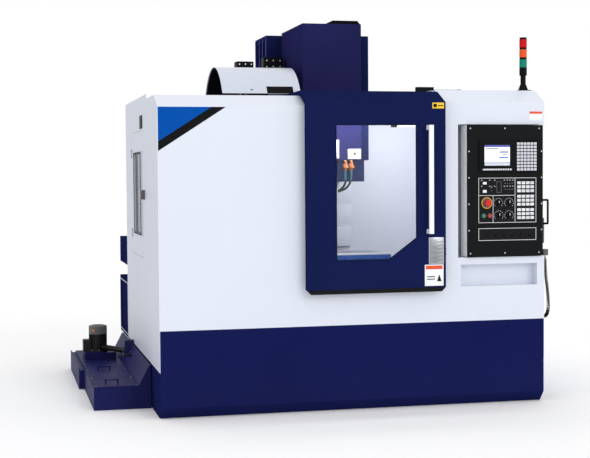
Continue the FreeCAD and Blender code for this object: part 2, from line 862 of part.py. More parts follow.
def saddle():
    """Saddle with its runner blocks and nut, the two table guides and the table motor."""
    left = "(spindle_x - saddle_wide / 2)"
    front = "(spindle_y - saddle_long / 2)"
    slab = box(left, front, SADDLE_LOW, "saddle_wide", "saddle_long", "saddle_high")
    trough = box(f"{left} - 1", "spindle_y - 60", f"{SADDLE_TOP} - 30", "saddle_wide + 2", "120", "31")
    parts = [cut(slab, trough)]
    for across in ("spindle_x - 300", "spindle_x + 300"):
        for along in (f"{front} + 20", f"{front} + saddle_long - 120"):
            runner = box(f"{across} - 45", along, f"{SADDLE_LOW} - 25", "90", "100", "25")
            slot = box(
                f"{across} - guide_wide / 2 - running",
                f"{along} - 1",
                f"{SADDLE_LOW} - 26",
                "guide_wide + 2 * running",
                "102",
                "21 + running",
            )
            parts.append(cut(runner, slot))
    nut = box("spindle_x - 35", "spindle_y - 30", "way_height - 20", "70", "60", "60")
    parts.append(cut(nut, rod("spindle_x", "spindle_y - 31", "way_height + 12", "screw_radius + running", "62", "y")))
    for end in (f"{left} + 5", f"{left} + saddle_wide - 35"):
        bearing = box(end, "spindle_y - 45", f"{SADDLE_TOP} - 30", "30", "90", "84")
        parts.append(cut(bearing, rod(f"{end} - 1", "spindle_y", f"{SADDLE_TOP} + 22", "12 + running", "32", "x")))
    body = fuse(*parts)
    rails = []
    for along in ("spindle_y - 160", "spindle_y + 160"):
        rails.append(
            box(left, f"{along} - guide_wide / 2", SADDLE_TOP, "saddle_wide", "guide_wide", "guide_high")
        )
    motor = box(
        f"{left} + saddle_wide", "spindle_y - 37", f"{SADDLE_TOP} + 22 - 37", "150", "74", "74"
    )
    keep("saddle", group(body, *rails, round_edges(motor, 8, Vector(1, 0, 0))))


def table():
    """Table with five T-slots, runner blocks, nut and a coolant gutter round the edge."""
    front = "(spindle_y - table_depth / 2)"
    plate = box(TABLE_LEFT, front, "table_top - table_thick", "table_length", "table_depth", "table_thick")
    core_low = f"({SADDLE_TOP} + 62)"
    core = box(
        f"{TABLE_LEFT} + 40",
        f"{front} + 30",
        core_low,
        "table_length - 80",
        "table_depth - 60",
        f"table_top - table_thick - {core_low}",
    )
    tools = []
    for index in range(5):
        centre = f"(spindle_y + {index - 2} * slot_pitch)"
        tools.append(
            box(
                f"{TABLE_LEFT} - 1",
                f"{centre} - slot_wide / 2",
                "table_top - slot_deep",
                "table_length + 2",
                "slot_wide",
                "slot_deep + 1",
            )
        )
        tools.append(
            box(
                f"{TABLE_LEFT} - 1",
                f"{centre} - slot_foot / 2",
                "table_top - slot_deep",
                "table_length + 2",
                "slot_foot",
                "12",
            )
        )
    parts = [cut(fuse(plate, core), *tools)]
    for along in ("spindle_y - 160", "spindle_y + 160"):
        way = box(f"{TABLE_LEFT} + 40", f"{along} - 45", f"{SADDLE_TOP} + 8", "table_length - 80", "90", "54")
        slot = box(
            f"{TABLE_LEFT} + 39",
            f"{along} - guide_wide / 2 - running",
            f"{SADDLE_TOP} + 7",
            "table_length - 78",
            "guide_wide + 2 * running",
            "guide_high - 7 + running",
        )
        parts.append(cut(way, slot))
    nut = box("spindle_x - table_offset - 30", "spindle_y - 35", f"{SADDLE_TOP} - 10", "60", "70", "72")
    bore = rod("spindle_x - table_offset - 31", "spindle_y", f"{SADDLE_TOP} + 22", "screw_radius + running", "62", "x")
    parts.append(cut(nut, bore))
    keep("table", fuse(*parts))


# ---------------------------------------------------------------- head and spindle
def head():
    """Head casting with spindle cartridge housing, runners, nut and the spindle motor on top."""
    left = "(spindle_x - head_wide / 2)"
    shoulder = box(left, "head_front", "head_low", "head_wide", f"{HEAD_REAR} - head_front", "shoulder_height")
    neck = box(
        "spindle_x - 180",
        "head_front + 20",
        "head_low + shoulder_height",
        "360",
        f"{HEAD_REAR} - head_front - 20",
        "340",
    )
    housing = rod("spindle_x", "spindle_y", "nose_low + 16", "quill_radius", "head_low - nose_low - 16")
    bore = rod("spindle_x", "spindle_y", "nose_low", "shaft_radius + running", "head_low - nose_low + 500")
    parts = [cut(fuse(shoulder, neck, housing), bore)]
    for across in ("spindle_x - 165", "spindle_x + 165"):
        for low in ("head_low + 10", "head_low + 330"):
            runner = box(f"{across} - 45", HEAD_REAR, low, "90", "29", "140")
            slot = box(
                f"{across} - guide_wide / 2 - running",
                f"{HEAD_REAR} + 4 - running",
                f"{low} - 1",
                "guide_wide + 2 * running",
                "30",
                "142",
            )
            parts.append(cut(runner, slot))
    nut = box("spindle_x - 35", HEAD_REAR, "head_low + 220", "70", "104", "80")
    bore = rod("spindle_x", "column_front + 40", "head_low + 219", "screw_radius + running", "82")
    parts.append(cut(nut, bore))
    casting = fuse(*parts)
    motor = rod("spindle_x", "spindle_y + 60", "head_low + shoulder_height + 340", "125", "480")
    keep("head_casting", group(casting, motor))


def head_cover():
    """Sheet cover over the head, the cable duct on its right side and the black top cap."""
    left = "(spindle_x - cover_wide / 2)"
    shell = box(
        left, "cover_front", "cover_low", "cover_wide", f"{HEAD_REAR} - cover_front - 2", "cover_top - cover_low"
    )
    space = box(
        f"{left} + metal",
        "cover_front + metal",
        "cover_low - 1",
        "cover_wide - 2 * metal",
        "column_front",
        "cover_top - cover_low - metal + 1",
    )
    duct = box(
        f"{left} + cover_wide", "cover_front + 90", "cover_low", "62", "120", "cover_top - cover_low - 76"
    )
    cap = body_from_outline(
        "XZ_Plane",
        [[("0", "0"), ("214", "0"), ("194", "24"), ("16", "24")]],
        "260",
        f"{left} + cover_wide - 218",
        "cover_front + 266",
        "cover_top",
    )
    keep("head_cover", group(fuse(cut(shell, space), duct), cap))


def spindle():
    """Rotating spindle: flange with a steep taper, drive keys and shaft."""
    flange = rod("spindle_x", "spindle_y", "nose_low", "nose_radius", "15.7")
    shaft = rod("spindle_x", "spindle_y", "nose_low", "shaft_radius", "520")
    taper = cone(
        "spindle_x", "spindle_y", "nose_low", "taper_radius", "taper_radius - taper_deep * 7 / 48", "taper_deep"
    )
    draw_hole = rod("spindle_x", "spindle_y", "nose_low", "9", "400")
    keys = []
    for side in ("spindle_x + 27", "spindle_x - 43"):
        keys.append(box(side, "spindle_y - 7.9", "nose_low - 8", "16", "15.8", "9"))
    keep("spindle", fuse(cut(fuse(flange, shaft), taper, draw_hole), *keys))


def coolant_nozzles():
    """Two valves on the front of the head with hoses of ball links that curve to the tool."""
    pieces = []
    for across, high, bend, turned, tip in (
        ("spindle_x + 92", "head_low + 10", 70, 60, 24),
        ("spindle_x + 134", "head_low + 36", 100, 68, 44),
    ):
        body = rod(across, "head_front - 34", "head_low + 112", "15", "34", "y")
        lever = box(f"{across} - 5", "head_front - 48", "head_low + 96", "10", "16", "44")
        elbow = rod(across, "head_front - 20", "head_low + 78", "9", "34")
        parts = [body, lever, elbow]
        for step in range(8):
            share = (step + 0.5) / 8
            parts.append(ball(across, "head_front - 20", f"{high} + (head_low + 78 - ({high})) * {share}", "9"))
        links = round(math.radians(turned) * bend / 11)
        for step in range(links + 1):
            angle = math.radians(turned) * step / links
            out = bend * (1 - math.cos(angle))
            drop = bend * math.sin(angle)
            parts.append(
                ball(
                    f"{across} - {0.73 * out:.2f}",
                    f"head_front - 20 + {0.68 * out:.2f}",
                    f"{high} - {drop:.2f}",
                    "8.5",
                )
            )
        for step in range(1, tip // 6 + 1):
            reach = out + 6 * step * math.sin(angle)
            low = drop + 6 * step * math.cos(angle)
            parts.append(
                ball(
                    f"{across} - {0.73 * reach:.2f}",
                    f"head_front - 20 + {0.68 * reach:.2f}",
                    f"{high} - {low:.2f}",
                    f"{8 - 0.5 * step}",
                )
            )
        pieces.append(fuse(*parts))
    keep("coolant_nozzles", group(*pieces))


def ball(x, y, z, radius):
    thing = doc.addObject("Part::Sphere", "Ball")
    bind(thing, "Radius", radius)
    return put(thing, x, y, z)


def place_feature(thing):
    """Move a shape made from plain numbers to the row frame."""
    for axis, text in (("x", ORIGIN_X), ("y", ORIGIN_Y)):
        bind(thing, f"Placement.Base.{axis}", f"0 - {text}")


# ---------------------------------------------------------------- tool magazine and changer
def magazine():
    """Shroud open at the left, below and over the door's roof; bracket from the column."""
    beam_x = "(disc_x + disc_thick + 12)"
    outer = rod("drum_x", "spindle_y", "drum_z", "drum_radius", "drum_length", "x")
    inner = rod("drum_x - 1", "spindle_y", "drum_z", "drum_radius - metal", "drum_length - metal + 1", "x")
    below = box("drum_x - 1", "0", "drum_z - 500", "drum_length + 2", "column_front + 100", "300")
    over_door = box(
        "drum_x - 1", "0", "drum_z - 201", "drum_length + 2", "hood_depth + 22", f"{ROOF_DOOR} + 207 - drum_z"
    )
    slot = box(f"{beam_x} - 2", "spindle_y + 300", "drum_z - 72", "114", "200", "144")
    keep("magazine_shroud", cut(outer, inner, below, over_door, slot))
    beam = box(beam_x, "spindle_y - 60", "drum_z - 70", "110", "column_front - spindle_y + 60", "140")
    foot = box(beam_x, "column_front - 9", "drum_z - 160", "158", "9", "320")
    rest = box(
        f"{beam_x} + 109", "spindle_y - 40", "drum_z - 60", f"drum_x + drum_length - metal - {beam_x} - 109", "80", "120"
    )
    stub = rod("disc_x + 4", "spindle_y", "drum_z", "24", "disc_thick + 12", "x")
    keep("magazine_bracket", fuse(beam, foot, rest, stub))


def tool_drum():
    """Magazine disc with twenty tool pots that open to the left."""
    disc = rod("disc_x", "spindle_y", "drum_z", "pot_circle + pot_radius + 4", "disc_thick", "x")
    bore = rod("disc_x - 1", "spindle_y", "drum_z", "24 + running", "disc_thick + 2", "x")
    pots = []
    count = 20
    for index in range(count):
        angle = 2 * math.pi * index / count
        along = f"spindle_y + {math.cos(angle):.6f} * pot_circle"
        up = f"drum_z + {math.sin(angle):.6f} * pot_circle"
        pot = rod("disc_x - pot_length", along, up, "pot_radius", "pot_length", "x")
        mouth = rod("disc_x - pot_length - 1", along, up, "pot_bore", "pot_length - 9", "x")
        pots.append(cut(pot, mouth))
    keep("tool_drum", fuse(cut(disc, bore), *pots))


def tool_changer():
    """Gearbox of the changer, held on the column, and its double-ended arm."""
    gear_x = "(spindle_x - arm_reach)"
    housing = box(f"{gear_x} - 62", "spindle_y - 80", "head_low + 40", "124", "360", "128")
    collar = rod(gear_x, "spindle_y", "arm_low + 92", "40", "head_low + 41 - arm_low - 92")
    neck = box(gear_x, "spindle_y + 270", "head_low + 50", "62", "column_front - spindle_y - 270", "110")
    keep("toolchange_gearbox", fuse(housing, collar, neck))
    hub = rod(gear_x, "spindle_y", "arm_low", "38", "92")
    bar = box(f"{gear_x} - 30", "spindle_y - arm_reach", "arm_low", "60", "2 * arm_reach", "arm_thick")
    grips = []
    bites = []
    for centre, mouth in (
        ("(spindle_y - arm_reach)", f"{gear_x} - 50"),
        ("(spindle_y + arm_reach)", gear_x),
    ):
        grips.append(rod(gear_x, centre, "arm_low", "48", "arm_thick"))
        bites.append(rod(gear_x, centre, "arm_low - 1", "31.5", "arm_thick + 2"))
        bites.append(box(mouth, f"{centre} - 24", "arm_low - 1", "50", "48", "arm_thick + 2"))
    keep("toolchange_arm", cut(fuse(hub, bar, *grips), *bites))


# ---------------------------------------------------------------- tank and boxes behind
def chute():
    """The sloped chute between the tank's deck and the wall."""
    outline = [
        ("0", "0"),
        ("chute_wide", "0"),
        ("chute_wide", "chute_height"),
        ("chute_wide - 12", "chute_height"),
        ("0", "tank_height"),
    ]
    return body_from_outline(
        "XZ_Plane",
        [outline],
        "tank_length - 60",
        "(0 - 4 - chute_wide)",
        "tank_front + tank_length - 60",
        "0",
    )


def coolant_tank():
    """Tank in one weldment: narrow front, wide rear, deck, pump seat and sloped chute."""
    right = "(0 - 4)"
    narrow = "(tank_reach - tank_step_x)"
    front = box(f"0 - {narrow}", "tank_front", "0", f"{right} + {narrow}", "tank_length", "tank_height")
    rear = box(
        "0 - tank_reach",
        "tank_front + tank_step_y",
        "0",
        "tank_step_x + 1",
        "tank_length - tank_step_y",
        "tank_height - 12",
    )
    seat = box("0 - 345", "pump_y - 120", "tank_height", "235", "230", "52")
    flange = box(
        "0 - tank_reach", "tank_front + tank_step_y", "tank_height - 30", "6", "tank_length - tank_step_y", "34"
    )
    space = box(
        f"20 - {narrow}", "tank_front + 10", "10", f"{narrow} - chute_wide - 40", "1065", "tank_height"
    )
    keep("coolant_tank", fuse(cut(fuse(front, rear, chute()), space), seat, flange))


def tank_lids():
    """Two lift-off lids on the tank, each with a bail handle."""
    left = "(0 - tank_reach + tank_step_x)"
    wide = "(tank_reach - tank_step_x - chute_wide - 12)"
    lids = []
    for start, length, grip in (
        ("tank_front + 4", "366", "141"),
        ("tank_front + 377", "708", "758"),
    ):
        plate = box(f"{left} + 6", start, DECK, wide, length, "5")
        feet = []
        for across in ("90", "170"):
            feet.append(rod(f"{left} + {across}", f"tank_front + {grip}", f"{DECK} + 5", "5", "22"))
        bar = box(f"{left} + 80", f"tank_front + {grip} - 5", f"{DECK} + 25", "100", "10", "8")
        lids.append(fuse(plate, bar, *feet))
    keep("tank_lids", group(*lids))


def outlet(reach, radius, length):
    """A pipe that leaves the pump forwards and to the right, starting at a distance from its axis."""
    pipe = doc.addObject("Part::Cylinder", "Outlet")
    pipe.Placement.Rotation = Rotation(Vector(0, 0, 1), -60) * AXIS_TURN["x"]
    bind(pipe, "Radius", radius)
    bind(pipe, "Height", length)
    across = f"0 - 238 + ({reach}) * {math.cos(math.radians(60)):.6f}"
    along = f"pump_y - ({reach}) * {math.sin(math.radians(60)):.6f}"
    return put(pipe, across, along, "tank_height + 86")


def coolant_pump():
    """Upright pump motor with its fan cowl, terminal box and outlet port."""
    x = "(0 - 238)"
    low = "(tank_height + 52)"
    body = rod(x, "pump_y", low, "pump_radius - 4", "pump_height - 60")
    cowl = rod(x, "pump_y", f"{low} + pump_height - 66", "pump_radius", "60")
    crown = cone(x, "pump_y", f"{low} + pump_height - 6", "pump_radius", "pump_radius - 14", "6")
    flange = rod(x, "pump_y", low, "pump_radius + 8", "10")
    terminal = box(f"{x} - pump_radius - 46", "pump_y - 50", low, "60", "80", "92")
    port = outlet("0", "20", "pump_radius + 16")
    keep("coolant_pump", fuse(body, cowl, crown, flange, terminal, port))


def coolant_pipe():
    """Ribbed pipe from the pump's port to a fitting that sits on the chute."""
    parts = [outlet("pump_radius + 16", "17", "290")]
    for step in range(9):
        parts.append(outlet(f"pump_radius + 24 + {step} * 26", "21", "14"))
    fitting = box("0 - 72", "pump_y - 372", "tank_height", "72", "60", "170")
    keep("coolant_pipe", cut(fuse(fitting, *parts), chute()))


def rear_boxes():
    """Two blue boxes behind the left wall: the lower with a recessed side, the upper plain."""
    depth = "(rear_reach - side_depth)"
    lower = box("5", "side_depth", "280", "420", depth, "454")
    side = box("4", "side_depth + 24", "304", "13", f"{depth} - 48", "406")
    upper = box("5", "side_depth", "849", "300", f"{depth} - 30", "202")
    keep("rear_boxes", group(cut(lower, side), upper))


# ---------------------------------------------------------------- control box and its parts
def control_box():
    """Box that swings on a pin above and below, with a bent front edge."""
    shell = box("control_left", CONTROL_FRONT, CONTROL_LOW, "control_width", "control_depth", CONTROL_HIGH)
    rounded = round_edges(shell, 4, Vector(0, 0, 1))
    pins = []
    for low in ("recess_bottom - 10", f"{CONTROL_LOW} + {CONTROL_HIGH} - 1"):
        pins.append(rod(PIVOT_X, PIVOT_Y, low, "pivot_radius", "control_gap + 11"))
    keep("control_box", cut(fuse(rounded, *pins), *stem_bores()))
    screws = []
    for across in ("20", "control_width / 2 - 5", "control_width - 30"):
        for up in ("22", f"{CONTROL_HIGH} - 22"):
            screws.append(
                rod(f"control_left + {across}", f"{CONTROL_FRONT} - 3", f"{CONTROL_LOW} + {up}", "5", "3", "y")
            )
    for across in ("10", "control_width - 12"):
        for row in range(1, 5):
            screws.append(
                rod(
                    f"control_left + {across}",
                    f"{CONTROL_FRONT} - 3",
                    f"{CONTROL_LOW} + {CONTROL_HIGH} * {row} / 5",
                    "5",
                    "3",
                    "y",
                )
            )
    keep("panel_screws", group(*screws))


def panel_block(across, up, wide, high, proud, base="0"):
    """A block on the front of the control box, placed from the box's lower left corner."""
    return box(
        f"control_left + {across}",
        f"{CONTROL_FRONT} - {proud}",
        f"{CONTROL_LOW} + {up}",
        wide,
        f"{proud} - {base}",
        high,
    )


def display():
    """Display unit with its sunk screen, and all flat keys of both keyboards."""
    unit = round_edges(panel_block("80", "560", "410", "211", "9"), 6, Vector(0, 1, 0))
    window = panel_block("117", "603", "180", "136", "10", "6")
    keep("display_unit", cut(unit, window))
    keep("display_screen", panel_block("117", "603", "180", "136", "7", "6"))
    keys = []
    for column in range(6):
        for row in range(9):
            keys.append(
                panel_block(f"346 + {column} * 24", f"569 + {row} * 21.4", "19", "16", "12", "9")
            )
    for column in range(12):
        keys.append(panel_block(f"110 + {column} * 16.8", "572", "13", "11", "12", "9"))
    for column in range(4):
        for row in range(9):
            up = 246 + 10 * (row // 3)
            keys.append(
                panel_block(f"350 + {column} * 31", f"{up} + {row} * 26.5", "25", "19", "7", "4")
            )
    keep("panel_keys", group(*keys))


def push_places():
    """Stem bores of the push buttons: place on the box, bore radius and depth."""
    return (("134", "356", "9.4"), ("112", "271", "10.4"), ("155", "271", "10.4"))


def stem_bores():
    bores = []
    for across, up, radius in push_places():
        bores.append(
            rod(f"control_left + {across}", f"{CONTROL_FRONT} - 5", f"{CONTROL_LOW} + {up}", radius, "14", "y")
        )
    return bores


def operator_panels():
    panel = panel_block("78", "228", "406", "297", "4")
    lower = panel_block("78", "107", "406", "77", "4")
    keep("operator_panels", group(cut(panel, *stem_bores()), lower))


def push_button(name, across, up, radius, cap_radius, cap_length, stem_length):
    """A push button: a cap on a stem that runs in a bore of its collar and panel."""
    x = f"control_left + {across}"
    z = f"{CONTROL_LOW} + {up}"
    face = f"{CONTROL_FRONT} - 4"
    stem = rod(x, f"{face} - {stem_length}", z, radius, f"{stem_length} + 1.5", "y")
    cap = rod(x, f"{face} - {stem_length} - {cap_length}", z, cap_radius, cap_length, "y")
    keep(name, fuse(stem, cap))


def buttons_and_knobs():
    """Emergency stop, start and stop buttons and four rotary selectors."""
    push_button("emergency_stop", "134", "356", "9", "20", "14", "16")
    push_button("start_button", "112", "271", "10", "10", "2", "7")
    push_button("stop_button", "155", "271", "10", "10", "2", "7")
    collars = []
    ring = rod("control_left + 134", f"{CONTROL_FRONT} - 9", f"{CONTROL_LOW} + 356", "31", "5", "y")
    ring_bore = rod("control_left + 134", f"{CONTROL_FRONT} - 10", f"{CONTROL_LOW} + 356", "9.4", "6", "y")
    collars.append(cut(ring, ring_bore))
    for across in ("112", "155"):
        collar = rod(f"control_left + {across}", f"{CONTROL_FRONT} - 8", f"{CONTROL_LOW} + 271", "14", "4", "y")
        bore = rod(f"control_left + {across}", f"{CONTROL_FRONT} - 9", f"{CONTROL_LOW} + 271", "10.4", "6", "y")
        collars.append(cut(collar, bore))
    keep("button_collars", group(*collars))
    places = (
        ("mode_knob", "215", "355"),
        ("feed_knob", "291", "355"),
        ("rapid_knob", "219", "272"),
        ("speed_knob", "291", "272"),
    )
    for name, across, up in places:
        skirt = rod(f"control_left + {across}", f"{CONTROL_FRONT} - 10", f"{CONTROL_LOW} + {up}", "17", "6", "y")
        grip = panel_block(f"{across} - 4", f"{up} - 15", "8", "30", "22", "9")
        keep(name, fuse(skirt, grip))


def box_handle():
    """Bow handle on the right side of the control box."""
    side = "(control_left + control_width)"
    y = f"({CONTROL_FRONT} + 14)"
    low = f"({CONTROL_LOW} + 204)"
    bar = rod(f"{side} + handle_reach - 8", y, low, "8", "176")
    feet = []
    for up in ("14", "162"):
        feet.append(rod(f"{side}", y, f"{low} + {up}", "7", "handle_reach - 8", "x"))
    keep("box_handle", fuse(bar, *feet))


CORD_ROUTE = (
    (2624, 40, 985),
    (2624, 40, 890),
    (2628, 8, 760),
    (2634, 5, 622),
    (2640, 60, 567),
    (2640, 138, 567),
    (2634, 192, 622),
    (2630, 190, 760),
    (2628, 182, 890),
    (2628, 182, 1000),
)


def handwheel():
    """Hand-held pulse wheel hung behind the right side of the control box, and its cord."""
    side = "control_left + control_width"
    plate = box(side, "90 - control_proud", "1060", "4", "57", "150")
    hook = box(side, "127 - control_proud", "1060", "30", "60", "5")
    top = box(side, "127 - control_proud", "1180", "30", "30", "5")
    case = box("width + 10", "115", "1065", "wheel_unit_reach - 24", "95", "170")
    neck = rod("2628", "182", "1000", "13", "66")
    unit = fuse(plate, hook, top, case, neck)
    stub = rod(side, "40", "1012", "12", "41", "x")
    gland = box(f"{side} + 25", "24", "985", "32", "32", "42")
    keep("handwheel_unit", group(unit, fuse(stub, gland)))
    keep("handwheel_dial", rod("width + wheel_unit_reach - 14", "162", "1170", "26", "14", "x"))
    keep("handwheel_cord", cord_tube(CORD_ROUTE, sheet.get("cord_radius")))


def cord_tube(route, radius):
    """A tube on straight runs and tangent arcs, each arc as large as its two runs allow."""
    points = [Vector(*point) for point in route]
    edges = []
    radii = []
    previous = points[0]
    length = 0.0
    for index in range(1, len(points) - 1):
        before = points[index] - points[index - 1]
        after = points[index + 1] - points[index]
        turn = before.getAngle(after)
        reach = 0.45 * min(before.Length, after.Length)
        radii.append(round(reach / math.tan(turn / 2), 1))
        enter = points[index] - before.normalize() * reach
        leave = points[index] + after.normalize() * reach
        middle_way = (after - before).normalize()
        bow = radii[-1] * (1 / math.cos(turn / 2) - 1)
        edges.append(Part.LineSegment(previous, enter).toShape())
        edges.append(Part.Arc(enter, points[index] + middle_way * bow, leave).toShape())
        length += edges[-1].Length + edges[-2].Length
        previous = leave
    edges.append(Part.LineSegment(previous, points[-1]).toShape())
    length += edges[-1].Length
    path = Part.Wire(edges)
    start = points[1] - points[0]
    ring = Part.Wire([Part.Circle(points[0], start, radius).toShape()])
    tube = doc.addObject("Part::Feature", "Cord")
    tube.Shape = path.makePipeShell([ring], True, False)
    expected = math.pi * radius * radius * length
    print("cord radii", radii, "length", round(length), "volume ratio", round(tube.Shape.Volume / expected, 3))
    place_feature(tube)
    return tube


# ---------------------------------------------------------------- on the roof and inside
def signal_tower():
    """Foot, pole, base, core, rings and cap in one piece; three lenses round the core."""
    foot = box("tower_x - 42", "tower_y - 42", ROOF_RIGHT, "84", "84", "6")
    flare = cone("tower_x", "tower_y", f"{ROOF_RIGHT} + 6", "34", "20", "38")
    pole = rod("tower_x", "tower_y", f"{ROOF_RIGHT} + 44", "18", "62")
    base = rod("tower_x", "tower_y", f"{ROOF_RIGHT} + 106", "tower_radius", "54")
    core = rod("tower_x", "tower_y", f"{ROOF_RIGHT} + 106", "8", "54 + 3 * (lens_height + lens_ring)")
    stack = [foot, flare, pole, base, core]
    lenses = []
    for level in range(3):
        start = f"{ROOF_RIGHT} + 160 + {level} * (lens_height + lens_ring)"
        lens = rod("tower_x", "tower_y", start, "tower_radius", "lens_height")
        hole = rod("tower_x", "tower_y", f"{start} - 1", "8", "lens_height + 2")
        lenses.append(cut(lens, hole))
        stack.append(rod("tower_x", "tower_y", f"{start} + lens_height", "tower_radius - 1.5", "lens_ring"))
    keep("tower_stand", fuse(*stack))
    keep("tower_lenses", group(*lenses))


def roof_cable():
    """Cable hump at the rear of the right roof strip, its lead and the clip that holds it."""
    hump = box("1893", "hood_depth - 50", ROOF_RIGHT, "124", "40", "46")
    lead = rod("2017", "hood_depth - 30", f"{ROOF_RIGHT} + 26", "4", "200", "x")
    clip = box("2205", "hood_depth - 38", ROOF_RIGHT, "14", "16", "32")
    keep("roof_cable", fuse(hump, lead, clip))


def work_light():
    """Tube lamp behind the door window, hung from the right door post by its black cap."""
    z = "1868"
    end = "(door_left + door_width - 57)"
    tube = rod(f"{end} - 230", "84", z, "17", "230", "x")
    cap = rod(f"{end} - 264", "84", z, "20", "34", "x")
    holder = rod(end, "84", z, "20", "57 + metal", "x")
    keep("work_light", fuse(tube, cap, holder))


def build():
    base_skirt()
    front_panel_left()
    front_panel_right()
    side_panels()
    inner_walls()
    sliding_door()
    door_glass()
    door_handle()
    door_wiper()
    door_rail()
    service_hatch()
    base_casting()
    levelling_feet()
    column()
    guide_rails()
    ball_screws()
    servo_motors()
    saddle()
    table()
    head()
    head_cover()
    spindle()
    coolant_nozzles()
    magazine()
    tool_drum()
    tool_changer()
    coolant_tank()
    tank_lids()
    coolant_pump()
    coolant_pipe()
    rear_boxes()
    control_box()
    display()
    operator_panels()
    buttons_and_knobs()
    box_handle()
    handwheel()
    signal_tower()
    roof_cable()
    work_light()


def check_and_write():
    """Refuse failed objects and bad solids, then write one STEP file for each sub-part."""
    for thing in doc.Objects:
        if "Invalid" in thing.State or "Error" in thing.State:
            raise RuntimeError(f"{thing.Name} ({thing.Label}) failed: {thing.State}")
    os.makedirs("parts", exist_ok=True)
    for name, thing in sub_parts.items():
        shape = thing.Shape
        if shape.isNull() or not shape.isValid() or not shape.Solids:
            raise RuntimeError(f"{name} has no valid solid")
        shape.exportStep(os.path.join("parts", name + ".step"))
        print(f"{name}: {len(shape.Solids)} solids, {shape.Volume / 1e6:.2f} litres")
    print(len(sub_parts), "sub-parts")


build()
doc.recompute()
check_and_write()
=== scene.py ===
# %% [markdown]
# # A vertical machining centre, finished in Blender
# The frame brings every metal part of the machine at its true size and place. This lesson gives
# each part its paint, metal, rubber or glass, and models the small pieces that make a machine
# look real: gaskets, screws, plates, fins and a curly cord. The frame is loaded first, because
# every later piece takes its place from it.

# %% Load the frame
import json
import math
import random

import bmesh
import bpy
from mathutils import Matrix, Vector


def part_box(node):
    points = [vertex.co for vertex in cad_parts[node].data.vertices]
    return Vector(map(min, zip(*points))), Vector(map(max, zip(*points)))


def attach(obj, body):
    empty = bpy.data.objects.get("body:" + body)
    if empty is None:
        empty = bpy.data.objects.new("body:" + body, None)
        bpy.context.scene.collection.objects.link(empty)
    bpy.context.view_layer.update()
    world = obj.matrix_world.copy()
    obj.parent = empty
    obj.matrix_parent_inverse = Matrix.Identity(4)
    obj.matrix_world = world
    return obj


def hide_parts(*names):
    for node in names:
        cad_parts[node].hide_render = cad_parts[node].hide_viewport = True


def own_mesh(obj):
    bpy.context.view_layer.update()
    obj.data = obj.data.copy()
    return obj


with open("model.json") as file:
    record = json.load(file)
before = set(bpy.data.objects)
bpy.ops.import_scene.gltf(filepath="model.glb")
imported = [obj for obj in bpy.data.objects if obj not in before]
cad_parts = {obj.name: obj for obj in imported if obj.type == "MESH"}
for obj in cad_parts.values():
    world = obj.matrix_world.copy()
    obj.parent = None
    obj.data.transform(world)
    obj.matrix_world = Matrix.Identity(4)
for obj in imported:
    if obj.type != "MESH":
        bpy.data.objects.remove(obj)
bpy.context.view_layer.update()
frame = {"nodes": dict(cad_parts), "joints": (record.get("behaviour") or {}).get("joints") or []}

# %% [markdown]
# ## Places in shop millimetres
# A fitter measures this machine from its left wall, its front plane and the floor. The frame
# counts metres from the middle of the floor under the machine. One small function turns the
# first into the second, so that every number below can be read off the machine with a tape.

# %% Shop millimetres to frame metres
WALL_TO_MIDDLE, FRONT_TO_MIDDLE = 1122.5, 1230.0


def at(x, y, z):
    """A place measured from the left wall, the front plane and the floor, in the frame's metres."""
    return Vector(((x - WALL_TO_MIDDLE) / 1000, (y - FRONT_TO_MIDDLE) / 1000, z / 1000))


def span(node):
    """The lowest and highest corners of a node, in shop millimetres."""
    middle = (WALL_TO_MIDDLE, FRONT_TO_MIDDLE, 0)
    return [[corner[i] * 1000 + middle[i] for i in range(3)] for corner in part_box(node)]


def centre_of(node):
    """The middle of a node's box, in shop millimetres."""
    return [(a + b) / 2 for a, b in zip(*span(node))]


print("door:", [[round(n) for n in corner] for corner in span("door_shell")])

# %% [markdown]
# ## Camera
# A long lens far to the left of the door shows the front almost square on, with a little of the
# left wall. The camera is turned by three plain angles: round the vertical, down, and a slight
# roll. The view transform is set to Standard, so that white paint stays white.

# %% Place the camera
camera_data = bpy.data.cameras.new("camera")
camera_data.lens, camera_data.sensor_width = 79.07, 36
camera = bpy.data.objects.new("camera", camera_data)
bpy.context.scene.collection.objects.link(camera)
bpy.context.scene.camera = camera
heading, dip, roll = math.radians(13.146), math.radians(2.421), math.radians(-0.427)
ahead = Vector((math.sin(heading) * math.cos(dip), math.cos(heading) * math.cos(dip), -math.sin(dip)))
aside = Vector((math.cos(heading), -math.sin(heading), 0))
aim = Matrix((aside, aside.cross(ahead), -ahead)).transposed() @ Matrix.Rotation(roll, 3, "Z")
camera.matrix_world = Matrix.Translation(at(-1011.57, -8096.55, 1545.04)) @ aim.to_4x4()
bpy.context.scene.view_settings.view_transform = "Standard"
print("camera at", [round(v, 2) for v in camera.location])

# %% [markdown]
# ## Shader arithmetic
# A finish is a small tree of nodes. Drawing it by hand takes a lot of clicking, so one class
# wraps a socket and lets Python's own signs add the Math nodes, and one class adds any other
# node by its type, its settings and its values.

# %% Wrap a socket and a material
class Value:
    """A number or colour that a node gives; signs on it add Math nodes."""

    def __init__(self, finish, socket):
        self.finish, self.socket = finish, socket

    def also(self, name):
        """Another output of the same node."""
        return Value(self.finish, self.socket.node.outputs[name])

    def maths(self, operation, first, second):
        return self.finish.node("ShaderNodeMath", {"operation": operation}, {0: first, 1: second})

    def __add__(self, other):
        return self.maths("ADD", self, other)

    def __sub__(self, other):
        return self.maths("SUBTRACT", self, other)

    def __rsub__(self, other):
        return self.maths("SUBTRACT", other, self)

    def __mul__(self, other):
        return self.maths("MULTIPLY", self, other)

    def __gt__(self, other):
        return self.maths("GREATER_THAN", self, other)

    def __lt__(self, other):
        return self.maths("LESS_THAN", self, other)

    __radd__, __rmul__ = __add__, __mul__


